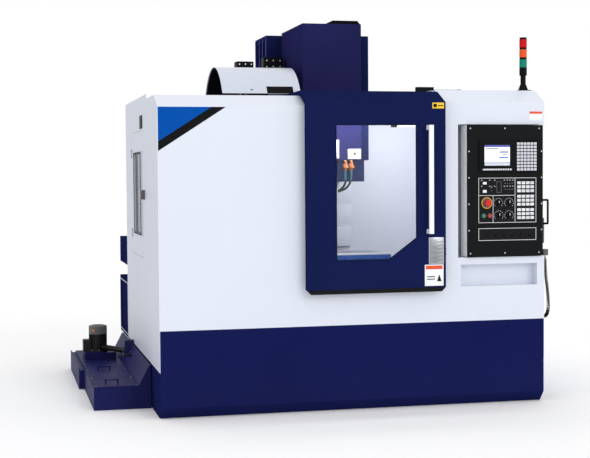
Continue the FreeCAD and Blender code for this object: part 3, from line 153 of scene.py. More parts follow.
class Finish:
    """A material in the making."""

    def __init__(self, name, constants):
        self.material = bpy.data.materials.new(name)
        self.material.use_nodes = True
        self.tree = self.material.node_tree
        self.shader = self.tree.nodes["Principled BSDF"]
        for socket, value in constants.items():
            self.use(socket, value)

    def put(self, socket, value):
        if isinstance(value, Value):
            self.tree.links.new(value.socket, socket)
        else:
            socket.default_value = value

    def use(self, socket, value):
        """Feeds one socket of the shader."""
        self.put(self.shader.inputs[socket], value)

    def node(self, kind, settings=None, values=None, out=0):
        """Adds any node: its settings first, then the values or links of its sockets."""
        made = self.tree.nodes.new(kind)
        for key, setting in (settings or {}).items():
            setattr(made, key, setting)
        for key, value in (values or {}).items():
            self.put(made.inputs[key], value)
        return Value(self, made.outputs[out])

    def place(self, scale=(1, 1, 1)):
        """Object coordinates, stretched where a pattern runs one way."""
        spot = self.node("ShaderNodeTexCoord", out="Object")
        return self.node("ShaderNodeMapping", None, {"Vector": spot, "Scale": scale})

    def axes(self):
        """The x, y and z of the place, as three values."""
        split = self.node("ShaderNodeSeparateXYZ", None, {0: self.place()})
        return split, split.also("Y"), split.also("Z")

    def noise(self, scale, detail=2.0, stretch=(1, 1, 1)):
        values = {"Vector": self.place(stretch), "Scale": scale, "Detail": detail}
        return self.node("ShaderNodeTexNoise", None, values)

    def mix(self, factor, first, second):
        return self.node("ShaderNodeMix", {"data_type": "RGBA"}, {0: factor, 6: first, 7: second}, out=2)

    def bump(self, height, strength, depth):
        values = {"Height": height, "Strength": strength, "Distance": depth}
        self.use("Normal", self.node("ShaderNodeBump", None, values))


def tone(red, green, blue, times=1.0):
    """A colour as eyes see it, 0 to 255, in the linear light that a shader wants."""
    linear = [(c / 255 / 12.92 if c < 11 else ((c / 255 + 0.055) / 1.055) ** 2.4) for c in (red, green, blue)]
    return (*[min(1.0, channel * times) for channel in linear], 1.0)


print("middle grey in linear light:", round(tone(128, 128, 128)[0], 3))

# %% [markdown]
# ## Powder paint
# Sheet metal is baked with powder paint. It is never one flat colour: the tone drifts a little
# over a large panel, the skin has the fine ripple that painters call orange peel, and dust
# settles low down. Three noises of different size give these, and each feeds only colour,
# roughness and bump. Dark paints get less shine, because a bright room would wash them out.

# %% Powder paint
def paint(name, colour, rough=0.42, shine=0.3, drift=0.05, peel=0.12, dust=0.0):
    """Baked powder paint with a drifting tone, orange peel and dust that gathers low down."""
    finish = Finish(name, {"Specular IOR Level": shine})
    cloud, speck = finish.noise(1.9, 3), finish.noise(420, 1)
    base = finish.mix(cloud, tone(*colour, 1 - drift), tone(*colour, 1 + drift))
    if dust:
        low = finish.node("ShaderNodeMapRange", None, {0: finish.axes()[2], 1: 0.0, 2: 0.55, 3: dust, 4: 0.0})
        base = finish.mix(low * finish.noise(9, 5), base, tone(150, 150, 160))
    finish.use("Base Color", base)
    finish.use("Roughness", rough - 0.06 + 0.12 * finish.noise(14, 4))
    finish.bump(speck, peel, 0.0006)
    return finish


white = paint("white_paint", (218, 223, 235), drift=0.02)
shroud_white = paint("shroud_paint", (203, 208, 221), rough=0.3, drift=0.03)
# The side walls get a greyer copy of the white paint: painted shade for walls that face away from the sun.
shaded_side_white = paint("side_wall_painted_shade", (194, 199, 212), drift=0.025)
inner_white = paint("inner_paint", (214, 218, 229), rough=0.5, drift=0.02)
navy = paint("navy_paint", (22, 30, 73), shine=0.0, drift=0.1)
# A much lighter copy of the column's paint: a painted highlight along the column's ribs.
rib_painted_highlight = paint("rib_painted_highlight", (92, 92, 158), shine=0.0, drift=0.1)
skirt_navy = paint("skirt_paint", (22, 28, 78), shine=0.0, drift=0.14, dust=0.012)
violet = paint("violet_paint", (25, 30, 74), shine=0.0, drift=0.2)
tank_navy = paint("tank_paint", (28, 30, 82), shine=0.02, drift=0.2, dust=0.02)
black = paint("black_paint", (18, 19, 21), rough=0.5, shine=0.05, drift=0.15, peel=0.3)
print("paints made:", len(bpy.data.materials))

# %% [markdown]
# ## Metals, rubber and plastics
# Ground steel has lines that run one way, so its noise is stretched. Cast iron is coarse and
# matt. A ball screw's thread is too fine to model, so a wave makes the thread as bump, and paints
# shade into its grooves and a highlight onto its crests. Rubber and moulded plastic are the same
# recipe with different grain and shine.

# %% Metals and plastics
def metal(name, colour, rough=0.3, along=(60, 900, 900), grain=0.25):
    """Ground or turned metal with fine lines along one axis."""
    finish = Finish(name, {"Metallic": 1.0})
    lines = finish.noise(1.0, 3, along)
    finish.use("Base Color", finish.mix(lines, tone(*colour, 0.72), tone(*colour, 1.1)))
    finish.use("Roughness", rough - 0.08 + 0.16 * lines)
    finish.bump(lines, grain, 0.0003)
    return finish


def moulded(name, colour, rough=0.5, shine=0.3, grain=600, relief=0.25, drift=0.12):
    """Moulded plastic or rubber with a fine spark-eroded grain."""
    finish = Finish(name, {"Specular IOR Level": shine})
    pits, wear = finish.noise(grain, 2), finish.noise(22, 4)
    finish.use("Base Color", finish.mix(wear, tone(*colour, 1 - drift), tone(*colour, 1 + drift)))
    finish.use("Roughness", rough - 0.07 + 0.14 * wear)
    finish.bump(pits, relief, 0.0004)
    return finish


def threaded(name, turns, axis):
    """A ball screw: bright steel with its thread round one axis as bump, and painted shade in the grooves and a
    painted highlight on the crests.
    """
    finish = metal(name, (196, 198, 202), 0.26)
    settings = {"wave_type": "BANDS", "bands_direction": axis}
    values = {"Vector": finish.place(), "Scale": turns, "Distortion": 0.0}
    ridges_and_painted_shade = finish.node("ShaderNodeTexWave", settings, values)
    # Painted shade and highlight: the wave's bands make the grooves dark and the crests bright in the colour.
    finish.use("Base Color", finish.mix(ridges_and_painted_shade, tone(96, 98, 104), tone(214, 216, 220)))
    finish.bump(ridges_and_painted_shade, 0.8, 0.002)
    return finish


steel = metal("ground_steel", (176, 180, 186))
bright_steel = metal("turned_steel", (205, 207, 210), 0.22, (700, 700, 90))
brass = metal("brass", (214, 140, 78), 0.3, (200, 200, 200))
iron = moulded("painted_casting", (16, 26, 70), 0.55, 0.08, 160, 0.5)
rubber = moulded("rubber", (18, 18, 20), 0.62, 0.1, 380, 0.4)
black_plastic = moulded("black_plastic", (19, 20, 22), 0.45, 0.1)
white_plastic = moulded("white_plastic", (240, 241, 244), 0.4, 0.3, drift=0.03)
grey_plastic = moulded("grey_plastic", (92, 94, 98), 0.5, 0.3)
red_plastic = moulded("red_plastic", (206, 30, 30), 0.3, 0.5)
orange_plastic = moulded("orange_plastic", (236, 132, 30), 0.35, 0.4)
green_plastic = moulded("green_plastic", (24, 138, 104), 0.32, 0.5)
yellow_label = moulded("yellow_label", (240, 196, 40), 0.45, 0.3, 900, 0.1)
blue_label = moulded("blue_label", (6, 78, 166), 0.4, 0.02, 900, 0.1)
orange_label = moulded("orange_label", (226, 84, 40), 0.4, 0.3, 900, 0.1)
screws = [threaded(f"thread_{a}", 32, a.upper()) for a in "xyz"]
print("finishes so far:", len(bpy.data.materials))

# %% [markdown]
# ## Finishes that draw something
# Some parts show a pattern that has a place: the perforated grille down one side of the control
# box, the fields on its screen, the colours of the signal lamps, the black cap on the head.
# Each is drawn from object coordinates with comparisons, which give masks of 0 and 1.

# %% Masks from places
def between(value, low, high):
    """1 where a value lies between two limits."""
    return (value > low) * (value < high)


def field(finish, x0, x1, z0, z1):
    """1 inside an upright rectangle, its sides in shop millimetres."""
    x, _, z = finish.axes()
    return between(x, at(x0, 0, 0).x, at(x1, 0, 0).x) * between(z, z0 / 1000, z1 / 1000)


def perforated_box():
    """Black powder paint, and a pale perforated grille on the face towards the door."""
    finish = paint("control_box_paint", (20, 21, 23), rough=0.5, shine=0.06, drift=0.15, peel=0.3)
    x, y, _ = finish.axes()
    side = (x < at(2047.2, 0, 0).x) * (y > at(0, -9, 0).y)
    values = {"Vector": finish.place(), "Scale": 190.0, "Randomness": 0.25}
    holes = finish.node("ShaderNodeTexVoronoi", None, values, out="Distance") < 0.33
    grille = finish.mix(holes, tone(254, 254, 254), tone(186, 187, 190))
    paint_colour = finish.shader.inputs["Base Color"].links[0].from_socket
    finish.use("Base Color", finish.mix(side, Value(finish, paint_colour), grille))
    return finish


def lit_screen():
    """A display that glows pale blue, with plain bars and blank fields."""
    finish = Finish("lit_screen", {"Roughness": 0.25, "Emission Strength": 0.55})
    low, high = span("display_screen")
    wide, tall = high[0] - low[0], high[2] - low[2]
    picture = finish.mix(finish.noise(6, 2), tone(214, 222, 238), tone(240, 244, 250))
    for x0, x1, z0, z1, colour in (
        (0.00, 1.00, 0.90, 1.00, (70, 74, 150)),
        (0.05, 0.55, 0.80, 0.86, (128, 132, 150)),
        (0.05, 0.48, 0.30, 0.74, (252, 252, 255)),
        (0.60, 0.94, 0.62, 0.70, (110, 116, 134)),
        (0.70, 0.90, 0.50, 0.56, (140, 146, 160)),
        (0.56, 0.94, 0.36, 0.43, (46, 108, 190)),
        (0.00, 1.00, 0.10, 0.16, (120, 124, 136)),
        (0.00, 1.00, 0.00, 0.08, (176, 182, 196)),
    ):
        mask = field(finish, low[0] + wide * x0, low[0] + wide * x1, low[2] + tall * z0, low[2] + tall * z1)
        picture = finish.mix(mask, picture, tone(*colour))
    finish.use("Base Color", picture)
    finish.use("Emission Color", picture)
    return finish


def signal_lenses():
    """Three clear coloured lenses with fine upright ribs."""
    finish = Finish("signal_lenses", {"Roughness": 0.3, "Specular IOR Level": 0.08, "Emission Strength": 0.02})
    z = finish.axes()[2]
    colour = finish.mix(z > 2.323, tone(20, 132, 108), tone(228, 90, 44))
    colour = finish.mix(z > 2.391, colour, tone(196, 22, 28))
    ribs = finish.node("ShaderNodeTexWave", {"bands_direction": "X"}, {"Vector": finish.place(), "Scale": 90.0})
    finish.use("Base Color", colour)
    finish.use("Emission Color", colour)
    finish.bump(ribs, 0.5, 0.001)
    return finish


perforated, screen, lenses = perforated_box(), lit_screen(), signal_lenses()
print("screen:", [round(n) for n in span("display_screen")[0]])

# %% [markdown]
# Safety glass is nearly clear, with a faint film of coolant that varies over the pane. The film
# is in its alpha, because a changing alpha survives an export and refraction doesn't.

# %% Glass, head cover, lamp, keys, knobs, table
def safety_glass(name, colour, clear, film):
    finish = Finish(name, {"Roughness": 0.06, "IOR": 1.5, "Specular IOR Level": 0.4})
    smear = finish.noise(3.5, 4, (1, 1, 0.35))
    finish.use("Base Color", finish.mix(smear, tone(*colour, 0.8), tone(*colour)))
    finish.use("Alpha", clear + film * smear)
    return finish


def two_tone(name, first, second, axis, limit, base=None):
    """A recipe whose colour changes at one place along an axis, as where two parts are one casting."""
    finish = base or moulded(name, first, 0.45, 0.3)
    other = finish.axes()[axis] > limit
    under = finish.shader.inputs["Base Color"].links[0].from_socket
    finish.use("Base Color", finish.mix(other, Value(finish, under), tone(*second)))
    return finish


def lamp_tube():
    """A lit tube between two black caps."""
    finish = moulded("lamp_tube", (36, 36, 38), 0.4, 0.3)
    lit = between(finish.axes()[0], at(1591, 0, 0).x, at(1819, 0, 0).x)
    under = finish.shader.inputs["Base Color"].links[0].from_socket
    finish.use("Base Color", finish.mix(lit, Value(finish, under), tone(250, 250, 250)))
    finish.use("Emission Color", finish.mix(lit, tone(0, 0, 0), tone(255, 252, 244)))
    finish.shader.inputs["Emission Strength"].default_value = 1.2
    return finish


def key_caps():
    """Moulded key caps: each cell of the keyboard has its own slight tone."""
    finish = moulded("key_caps", (226, 228, 232), 0.42, 0.35)
    spot = finish.place((55, 55, 55))
    cell = finish.node("ShaderNodeVectorMath", {"operation": "FLOOR"}, {0: spot})
    chance = finish.node("ShaderNodeTexWhiteNoise", None, {"Vector": cell})
    caps = finish.mix(chance, tone(236, 237, 240), tone(204, 206, 214))
    finish.use("Base Color", finish.mix(finish.axes()[2] > 1.53, caps, tone(206, 207, 216)))
    return finish


def machine_table():
    """Ground table top, painted below its edge."""
    finish = metal("machine_table", (190, 194, 200), 0.3, (40, 700, 700))
    below = finish.axes()[2] < 0.9
    under = finish.shader.inputs["Base Color"].links[0].from_socket
    finish.use("Base Color", finish.mix(below, Value(finish, under), tone(22, 66, 140)))
    finish.use("Metallic", 1 - below)
    return finish


door_glass = safety_glass("door_glass", (206, 214, 226), 0.02, 0.03)
side_glass = safety_glass("side_glass", (40, 46, 66), 0.5, 0.12)
head_paint = two_tone("head_paint", None, (20, 20, 22), 2, 2.5925,
                      paint("head_paint", (36, 36, 82), shine=0.0, drift=0.3))
nozzle_finish = two_tone("nozzles", (24, 26, 29), (30, 96, 112), 2, 1.5)
nozzle_finish = two_tone("nozzles", None, (206, 130, 84), 2, 1.566, nozzle_finish)
pump_finish = two_tone("pump_casing", (19, 20, 22), (92, 93, 92), 2, 0.3345)
pipe_finish = two_tone("ribbed_pipe", (19, 20, 22), (23, 25, 78), 0, at(-73, 0, 0).x)
emergency = two_tone("emergency_button", (206, 28, 24), (236, 150, 24), 1, at(0, -22.5, 0).y)
lamp, keys, table_finish = lamp_tube(), key_caps(), machine_table()
print("finishes so far:", len(bpy.data.materials))

# %% [markdown]
# ## Paint the frame
# A node keeps its mesh and only changes its material. A table of finish to nodes says at a
# glance what the machine is made of.

# %% Give every node its finish
DRESS = (
    (white, "front_panel_left front_panel_right"),
    (shroud_white, "magazine_shroud"),
    (white_plastic, "door_handle handwheel_dial"),
    # The side walls and the hatch take the greyer paint, which is painted shade.
    (shaded_side_white, "side_panel_left side_panel_right hatch_panel"),
    (inner_white, "inner_walls"),
    (navy, "door_shell"),
    (skirt_navy, "base_skirt"),
    (tank_navy, "coolant_tank tank_lids"),
    (violet, "column rear_boxes"),
    (head_paint, "head_cover"),
    (iron, "base_casting saddle head_casting magazine_bracket toolchange_gearbox"),
    (steel, "guide_rails toolchange_arm levelling_feet door_rail"),
    (bright_steel, "spindle panel_screws"),
    (black, "servo_motors tower_stand roof_cable display_unit"),
    (perforated, "control_box"),
    (black_plastic, "operator_panels tool_drum mode_knob feed_knob rapid_knob speed_knob"),
    (grey_plastic, "button_collars hatch_interlock handwheel_unit"),
    (rubber, "door_wiper handwheel_cord box_handle"),
    (pump_finish, "coolant_pump"),
    (pipe_finish, "coolant_pipe"),
    (door_glass, "door_glass"),
    (side_glass, "hatch_glass"),
    (screen, "display_screen"),
    (keys, "panel_keys"),
    (lenses, "tower_lenses"),
    (lamp, "work_light"),
    (table_finish, "table"),
    (nozzle_finish, "coolant_nozzles"),
    (emergency, "emergency_stop"),
    (green_plastic, "start_button"),
    (red_plastic, "stop_button"),
    (screws[0], "x_screw"),
    (screws[1], "y_screw"),
    (screws[2], "z_screw"),
)
dressed = set()
for finish, names in DRESS:
    for name in names.split():
        node = frame["nodes"][name]
        node.data.materials.clear()
        node.data.materials.append(finish.material)
        dressed.add(name)
print("dressed:", len(dressed), "left:", sorted(set(frame["nodes"]) - dressed))

# %% [markdown]
# ## Shapes from operators
# Small parts start from a cube, a cone, a circle or one flat face, and bevel, inset, extrude
# and spin do the rest. Each shape function adds to a working mesh, so that one piece can be
# many shapes: all the screws of a panel are one object.

# %% Shape functions
TURN = {
    "x": Matrix.Rotation(math.radians(90), 4, "Y"),
    "y": Matrix.Rotation(math.radians(-90), 4, "X"),
    "z": Matrix.Identity(4),
}


def soften(bm, edges, amount, steps=2):
    bmesh.ops.bevel(bm, geom=list(edges), offset=amount / 1000, offset_type="OFFSET", affect="EDGES",
                    segments=steps, profile=0.5, material=-1, clamp_overlap=True)


def block(bm, low, high, round_by=0.0):
    """A box between two corners, with rounded edges."""
    low, high = at(*low), at(*high)
    place = Matrix.Translation((low + high) / 2) @ Matrix.Diagonal((*(high - low), 1))
    made = bmesh.ops.create_cube(bm, size=1, matrix=place)["verts"]
    if round_by:
        soften(bm, {e for v in made for e in v.link_edges}, round_by)


def bar(bm, start, axis, length, radius, tip=None, sides=24, round_by=0.0):
    """A turned bar or cone that starts at a place and runs along an axis."""
    place = Matrix.Translation(at(*start)) @ TURN[axis] @ Matrix.Translation((0, 0, length / 2000))
    end = radius if tip is None else tip
    made = bmesh.ops.create_cone(bm, cap_ends=True, segments=sides, radius1=radius / 1000,
                                 radius2=end / 1000, depth=length / 1000, matrix=place)["verts"]
    if round_by:
        faces = {f for v in made for f in v.link_faces}
        soften(bm, {e for f in faces if len(f.verts) == sides for e in f.edges}, round_by)


def hoop(bm, centre, axis, radius, wire, sides=48):
    """A ring of round wire: a small circle spun all the way round."""
    ring = Matrix.Translation(at(*centre)) @ TURN[axis]
    start = ring @ Matrix.Translation((radius / 1000, 0, 0)) @ Matrix.Rotation(math.radians(90), 4, "X")
    circle = bmesh.ops.create_circle(bm, segments=8, radius=wire / 1000, matrix=start)["verts"]
    loop = circle + list({e for v in circle for e in v.link_edges})
    bmesh.ops.spin(bm, geom=loop, cent=at(*centre), axis=ring.to_3x3() @ Vector((0, 0, 1)),
                   angle=math.tau, steps=sides, use_merge=True)


def thicken(bm, faces, push):
    """Gives flat faces a thickness along a push in millimetres."""
    grown = bmesh.ops.extrude_face_region(bm, geom=faces)["geom"]
    moved = [part for part in grown if isinstance(part, bmesh.types.BMVert)]
    bmesh.ops.translate(bm, verts=moved, vec=Vector(push) / 1000)


def plate(bm, outline, push):
    """A flat plate with any straight-sided outline."""
    thicken(bm, [bm.faces.new([bm.verts.new(at(*point)) for point in outline])], push)


def rim(bm, outline, width, push):
    """A flat frame inside an outline: the face is inset and its middle taken away."""
    face = bm.faces.new([bm.verts.new(at(*point)) for point in outline])
    face.normal_update()
    band = bmesh.ops.inset_individual(bm, faces=[face], thickness=width / 1000, use_even_offset=True)["faces"]
    bmesh.ops.delete(bm, geom=[face], context="FACES_ONLY")
    thicken(bm, band, push)


def spread(bm, shape, facts, centre, axis, count):
    """Repeats a shape evenly round an axis."""
    first = len(bm.verts)
    shape(bm, *facts)
    bm.verts.ensure_lookup_table()
    fresh = bm.verts[first:]
    geometry = fresh + list({e for v in fresh for e in v.link_edges})
    geometry += list({f for v in fresh for f in v.link_faces})
    bmesh.ops.spin(bm, geom=geometry, cent=at(*centre), axis=TURN[axis].to_3x3() @ Vector((0, 0, 1)),
                   angle=math.tau * (count - 1) / count, steps=count - 1, use_duplicate=True)


def upright(x0, x1, z0, z1, y):
    """The corners of an upright rectangle that faces the door side."""
    return [(x0, y, z0), (x1, y, z0), (x1, y, z1), (x0, y, z1)]


# %% [markdown]
# A finished piece gets faces that point outwards, shading that is smooth over rounds and sharp
# at folds, a finish and a body to ride on.

# %% Finish a piece
def make(name, body, finish, shapes):
    """Builds one piece from a list of (shape function, its facts...)."""
    bm = bmesh.new()
    for shape, *facts in shapes:
        shape(bm, *facts)
    bmesh.ops.remove_doubles(bm, verts=bm.verts, dist=0.000002)
    bmesh.ops.recalc_face_normals(bm, faces=bm.faces)
    for face in bm.faces:
        face.smooth = True
    for edge in bm.edges:
        edge.smooth = len(edge.link_faces) == 2 and edge.calc_face_angle(0) < math.radians(32)
    mesh = bpy.data.meshes.new(name)
    bm.to_mesh(mesh)
    bm.free()
    made = bpy.data.objects.new(name, mesh)
    bpy.context.scene.collection.objects.link(made)
    mesh.materials.append(finish.material)
    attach(made, body)
    print(name, len(mesh.polygons), "faces")
    return made


# %% [markdown]
# ## The handwheel's curly cord
# A curly cord is a thin lead wound on a bar and set by heat. Its real length is the length of
# the helix, several times the length that it spans. The route is one smooth curve through a
# few points; a bare curve gives points along it, and the helix turns round those. The turns
# start and end small, where the lead runs straight into its gland and into the handwheel.

# %% Route of the cord
ROUTE = (
    (2624, 40, 985), (2624, 40, 890), (2628, 8, 760), (2634, 5, 622), (2640, 60, 567),
    (2640, 138, 567), (2634, 192, 622), (2630, 190, 760), (2628, 182, 890), (2628, 182, 1000),
)
LEAD_RADIUS, WIND_RADIUS, PITCH, PER_TURN, STRAIGHT = 0.0034, 0.0092, 0.0120, 14, 0.030


def smooth_curve(name, points, radius):
    """A smooth curve on control points, with a round section if it has a radius."""
    data = bpy.data.curves.new(name, "CURVE")
    data.dimensions, data.resolution_u = "3D", 24
    data.bevel_depth, data.bevel_resolution, data.use_fill_caps = radius, 4, bool(radius)
    spline = data.splines.new("NURBS")
    spline.points.add(len(points) - 1)
    for point, place in zip(spline.points, points):
        point.co = (*place, 1.0)
    spline.order_u, spline.use_endpoint_u = 3, True
    made = bpy.data.objects.new(name, data)
    bpy.context.scene.collection.objects.link(made)
    return made


guide = smooth_curve("cord_guide", [at(*point) for point in ROUTE], 0)
line_mesh = bpy.data.meshes.new_from_object(guide)
line = [vertex.co.copy() for vertex in line_mesh.vertices]
bpy.data.objects.remove(guide)
steps = [(b - a).length for a, b in zip(line, line[1:])]
run = sum(steps)
print("the cord's route is", round(run, 3), "m long")

# %% Wind the helix round the route
def along(distance):
    """The place and direction at a distance along the route."""
    for start, end, step in zip(line, line[1:], steps):
        if distance <= step or end is line[-1]:
            return start.lerp(end, min(1.0, distance / step)), (end - start).normalized()
        distance -= step


winding, side, turn = [], Vector((1, 0, 0)), 0.0
travel = PITCH / PER_TURN
for number in range(int(run / travel) + 1):
    distance = number * travel
    spot, forward = along(distance)
    side = (side - forward * side.dot(forward)).normalized()
    swell = min(1.0, distance / STRAIGHT, (run - distance) / STRAIGHT)
    out = side * math.cos(turn) + forward.cross(side) * math.sin(turn)
    if swell > 0.25 or number % PER_TURN == 0:
        winding.append(spot + out * WIND_RADIUS * max(0.0, swell) ** 2)
    turn += math.tau / PER_TURN
curly = smooth_curve("handwheel_curly_cord", winding, LEAD_RADIUS)
curly.data.resolution_u, curly.data.bevel_resolution = 2, 2
curly.data.materials.append(rubber.material)
wound = sum((b - a).length for a, b in zip(winding, winding[1:]))
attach(curly, "control")
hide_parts("handwheel_cord")
tuple(at(*ROUTE[0]))
print("lead in the winding:", round(wound, 2), "m")

# %% [markdown]
# ## Side handle of the control box
# The handle is one steel rod, bent twice. A curve with doubled points near each bend keeps the
# straight parts straight and gives a tight, even round.

# %% Bend the side handle
low, high = span("box_handle")
across, reach_x = (low[1] + high[1]) / 2, high[0] - 7
bends = [
    (low[0] - 1, low[2] + 9), (low[0] + 14, low[2] + 9), (reach_x - 9, low[2] + 9), (reach_x, low[2] + 9),
    (reach_x, low[2] + 18), (reach_x, low[2] + 45), (reach_x, high[2] - 45), (reach_x, high[2] - 18),
    (reach_x, high[2] - 9), (reach_x - 9, high[2] - 9), (low[0] + 14, high[2] - 9), (low[0] - 1, high[2] - 9),
]
handle = smooth_curve("bent_side_handle", [at(x, across, z) for x, z in bends], 0.007)
handle.data.materials.append(black.material)
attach(handle, "control")
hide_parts("box_handle")
print("side handle:", [round(n) for n in low], [round(n) for n in high])

# %% [markdown]
# ## Gaskets and labels
# A rubber gasket holds each pane. Labels and the colour flash on the left panel are thin plates
# with plain fields: they say nothing, and only break up the paint as real ones do.

# %% Door window gasket and door labels
front = span("door_shell")[0][1]
window = [(1135, front, 987), (1488, front, 987), (1676, front, 1124), (1676, front, 1861), (1135, front, 1861)]
make("door_window_gasket", "door", rubber, [(rim, window, 5, (0, -2.5, 0))])
make("door_rating_plate", "door", steel,
     [(block, (1759, front - 1.2, 950), (1863, front + 0.2, 1126), 0.5)]
)
make("door_rating_lines", "door", grey_plastic,
     [(block, (1768, front - 1.6, z), (1854 - 17 * (z % 3), front - 1.0, z + 3), 0)
      for z in range(962, 1118, 8)])
make("door_notice", "door", white_plastic,
     [(block, (1731, front - 1.4, 809), (1860, front + 0.1, 948), 0.5)])
make("door_notice_band", "door", orange_label,
     [(block, (1738, front - 2.0, 918), (1853, front - 1.2, 942), 0)])
make("door_notice_mark", "door", black_plastic,
     [(plate, [(1815, front - 1.3, 838), (1846, front - 1.3, 838), (1830, front - 1.3, 884)], (0, -0.6, 0)),
      (block, (1746, front - 1.9, 850), (1800, front - 1.2, 856), 0),
      (block, (1746, front - 1.9, 866), (1800, front - 1.2, 872), 0)])
make("door_top_label", "door", yellow_label,
     [(block, (1786, front - 1.2, 1966), (1866, front + 0.1, 2004), 0.4)])
make("door_top_label_bar", "door", black_plastic,
     [(block, (1794, front - 1.8, 1974), (1816, front - 1.0, 1996), 0),
      (block, (1824, front - 1.8, 1982), (1860, front - 1.0, 1988), 0)])

# %% Colour flash on the left panel and plain labels
make("flash_blue", "enclosure", blue_label,
     [(plate, [(4, 0.1, 1973), (4, 0.1, 1756), (345, 0.1, 1973)], (0, -0.7, 0))])
make("flash_black", "enclosure", black,
     [(plate, [(4, 0.1, 1756), (4, 0.1, 1696), (436, 0.1, 1973), (345, 0.1, 1973)], (0, -0.9, 0))])
make("right_panel_stripe", "enclosure", orange_label, [(block, (2494, -0.9, 1937), (2584, 0.1, 1952), 0)])
make("right_panel_label", "enclosure", white_plastic, [(block, (2494, -0.7, 1893), (2584, 0.1, 1937), 0)])
make("left_wall_plate", "enclosure", black, [(block, (-1.2, 810, 1867), (0.1, 990, 1959), 0.4)])
make("sensor_caps", "enclosure", grey_plastic,
     [(bar, (1900, 0.2, z), "y", -3, 6, 4, 16) for z in (1010, 1046)])

# %% [markdown]
# ## The service hatch
# The hatch in the left wall has its own gasket, and its lock has a small red button.

# %% Hatch gasket, lock button and hatch screws
low, high = span("hatch_glass")
out = span("hatch_panel")[0][0]
pane = [(out, low[1] + 4, low[2] + 4), (out, low[1] + 4, high[2] - 4),
        (out, high[1] - 4, high[2] - 4), (out, high[1] - 4, low[2] + 4)]
make("hatch_gasket", "hatch", rubber, [(rim, pane, 10, (-2.5, 0, 0))])
lock_low, lock_high = span("hatch_interlock")
lock_y, lock_z = (lock_low[1] + lock_high[1]) / 2, (lock_low[2] + lock_high[2]) / 2
make("interlock_button", "enclosure", red_plastic,
     [(bar, (lock_low[0] + 0.5, lock_y, lock_z), "x", -3, 9, 7, 24, 0.6)])
low, high = span("hatch_panel")
make("hatch_screws", "hatch", bright_steel,
     [(bar, (out + 0.3, y, z), "x", -2.2, 5, 4.2, 12, 0.5)
      for y in (low[1] + 22, high[1] - 22) for z in (low[2] + 22, (low[2] + high[2]) / 2, high[2] - 22)])

# %% [markdown]
# ## The control box
# The operator's panel is divided by thin pale lines. Round each rotary knob is a scale of short
# marks, and each knob has a pale pointer that turns with it, which is why pointers ride on the
# knobs' bodies and scales on the panel.

# %% Panel lines, soft keys and scales
face = span("operator_panels")[0][1]
deck = face - 0.5
lines = [(rim, upright(2122, 2531, 1213, 1511, face + 0.1), 2.6, (0, -0.7, 0)),
         (rim, upright(2122, 2531, 1095, 1177, face + 0.1), 2.6, (0, -0.7, 0)),
         (block, (2379, deck, 1215), (2381.6, face + 0.1, 1509), 0),
         (block, (2124, deck, 1393), (2380, face + 0.1, 1395.6), 0),
         (block, (2223, deck, 1215), (2225.6, face + 0.1, 1394), 0)]
make("panel_lines", "control", white_plastic, lines)
STOP_RING, MARK_RING, MARK_STEP = 36, 31, 25
knobs = {f"{knob}_knob": centre_of(f"{knob}_knob") for knob in ("mode", "feed", "rapid", "speed")}
marks = []
for x, _, z in knobs.values():
    for step in range(-5, 6):
        lean = math.radians(MARK_STEP * step)
        spot = (x + MARK_RING * math.sin(lean), face + 0.1, z + MARK_RING * math.cos(lean))
        marks.append((bar, spot, "y", -0.6, 2.2, None, 6))
make("knob_scales", "control", white_plastic, marks)
for body in ("mode", "feed", "rapid", "speed"):
    low, high = span(f"{body}_knob")
    x, z, r = (low[0] + high[0]) / 2, (low[2] + high[2]) / 2, (high[0] - low[0]) / 2
    make(f"{body}_pointer", body, white_plastic,
         [(block, (x - 1.6, low[1] - 0.5, z), (x + 1.6, low[1] + 0.4, z + r - 2), 0.2)])
low, high = span("display_unit")
glass_low, glass_high = span("display_screen")
bezel = upright(glass_low[0] - 7, glass_high[0] + 7, glass_low[2] - 7, glass_high[2] + 7, low[1] + 0.1)
make("screen_bezel", "control", black_plastic, [(rim, bezel, 6, (0, -2.0, 0))])
make("soft_keys", "control", white_plastic,
     [(block, (2150 + 17.6 * i, low[1] - 1.6, 1563), (2161 + 17.6 * i, low[1] + 0.2, 1570), 0.5)
      for i in range(12)])
make("panel_legends", "control", white_plastic,
     [(block, (2153, deck, 1468), (2179, face + 0.1, 1484), 0.2),
      (block, (2153, deck, 1413), (2179, face + 0.1, 1431), 0.2)]
     + [(block, (x, deck, z), (x + 9, face + 0.1, z + 3), 0)
        for x in (2140, 2196, 2232, 2300, 2320, 2340, 2360) for z in (1494, 1454)])
make("panel_switches", "control", grey_plastic,
     [(bar, (2211, face + 0.2, 1450), "y", -7, 9, 7.5, 24, 0.8), (bar, (2211, face + 0.2, 1426), "y", -4, 4, 3, 16)]
     + [(bar, (x, face + 0.2, z), "y", -6, 4.5, 3.5, 16, 0.5)
        for x in (2308, 2325, 2342, 2359) for z in (1474, 1434)]
     + [(rim, upright(2249, 2283, 1413, 1487, face + 0.1), 3, (0, -1.6, 0))])
make("lower_panel_knobs", "control", black_plastic,
     [(bar, (2184 + 60 * i, face + 0.2, 1128), "y", -8, 9, 7, 24, 0.8) for i in range(6)])
for name, finish in (("start_button", green_plastic), ("stop_button", red_plastic)):
    x, _, z = centre_of(name)
    make(f"{name}_surround", "control", finish, [(hoop, (x, face - 1.5, z), "y", 13, 2.4)])
x, _, z = centre_of("emergency_stop")
turns = [math.tau * i / 32 for i in range(32)]
circle = [(x + STOP_RING * math.cos(turn), face + 0.1, z + STOP_RING * math.sin(turn)) for turn in turns]
make("estop_disc", "control", orange_plastic, [(rim, circle, 13, (0, -1.5, 0))])
make("estop_ring", "control", yellow_label, [(hoop, (x, face - 1.2, z), "y", STOP_RING, 1.6)])
print("knobs at", {name: [round(n) for n in place] for name, place in knobs.items()})

# %% [markdown]
# ## Head and magazine
# In the window the head shows a pale plate, a bright strip and two brass valves. The magazine
# holds its tools in a ring of pots: each pot has a steel rim, and some hold a tool. These ride
# on the drum, so they turn with it.

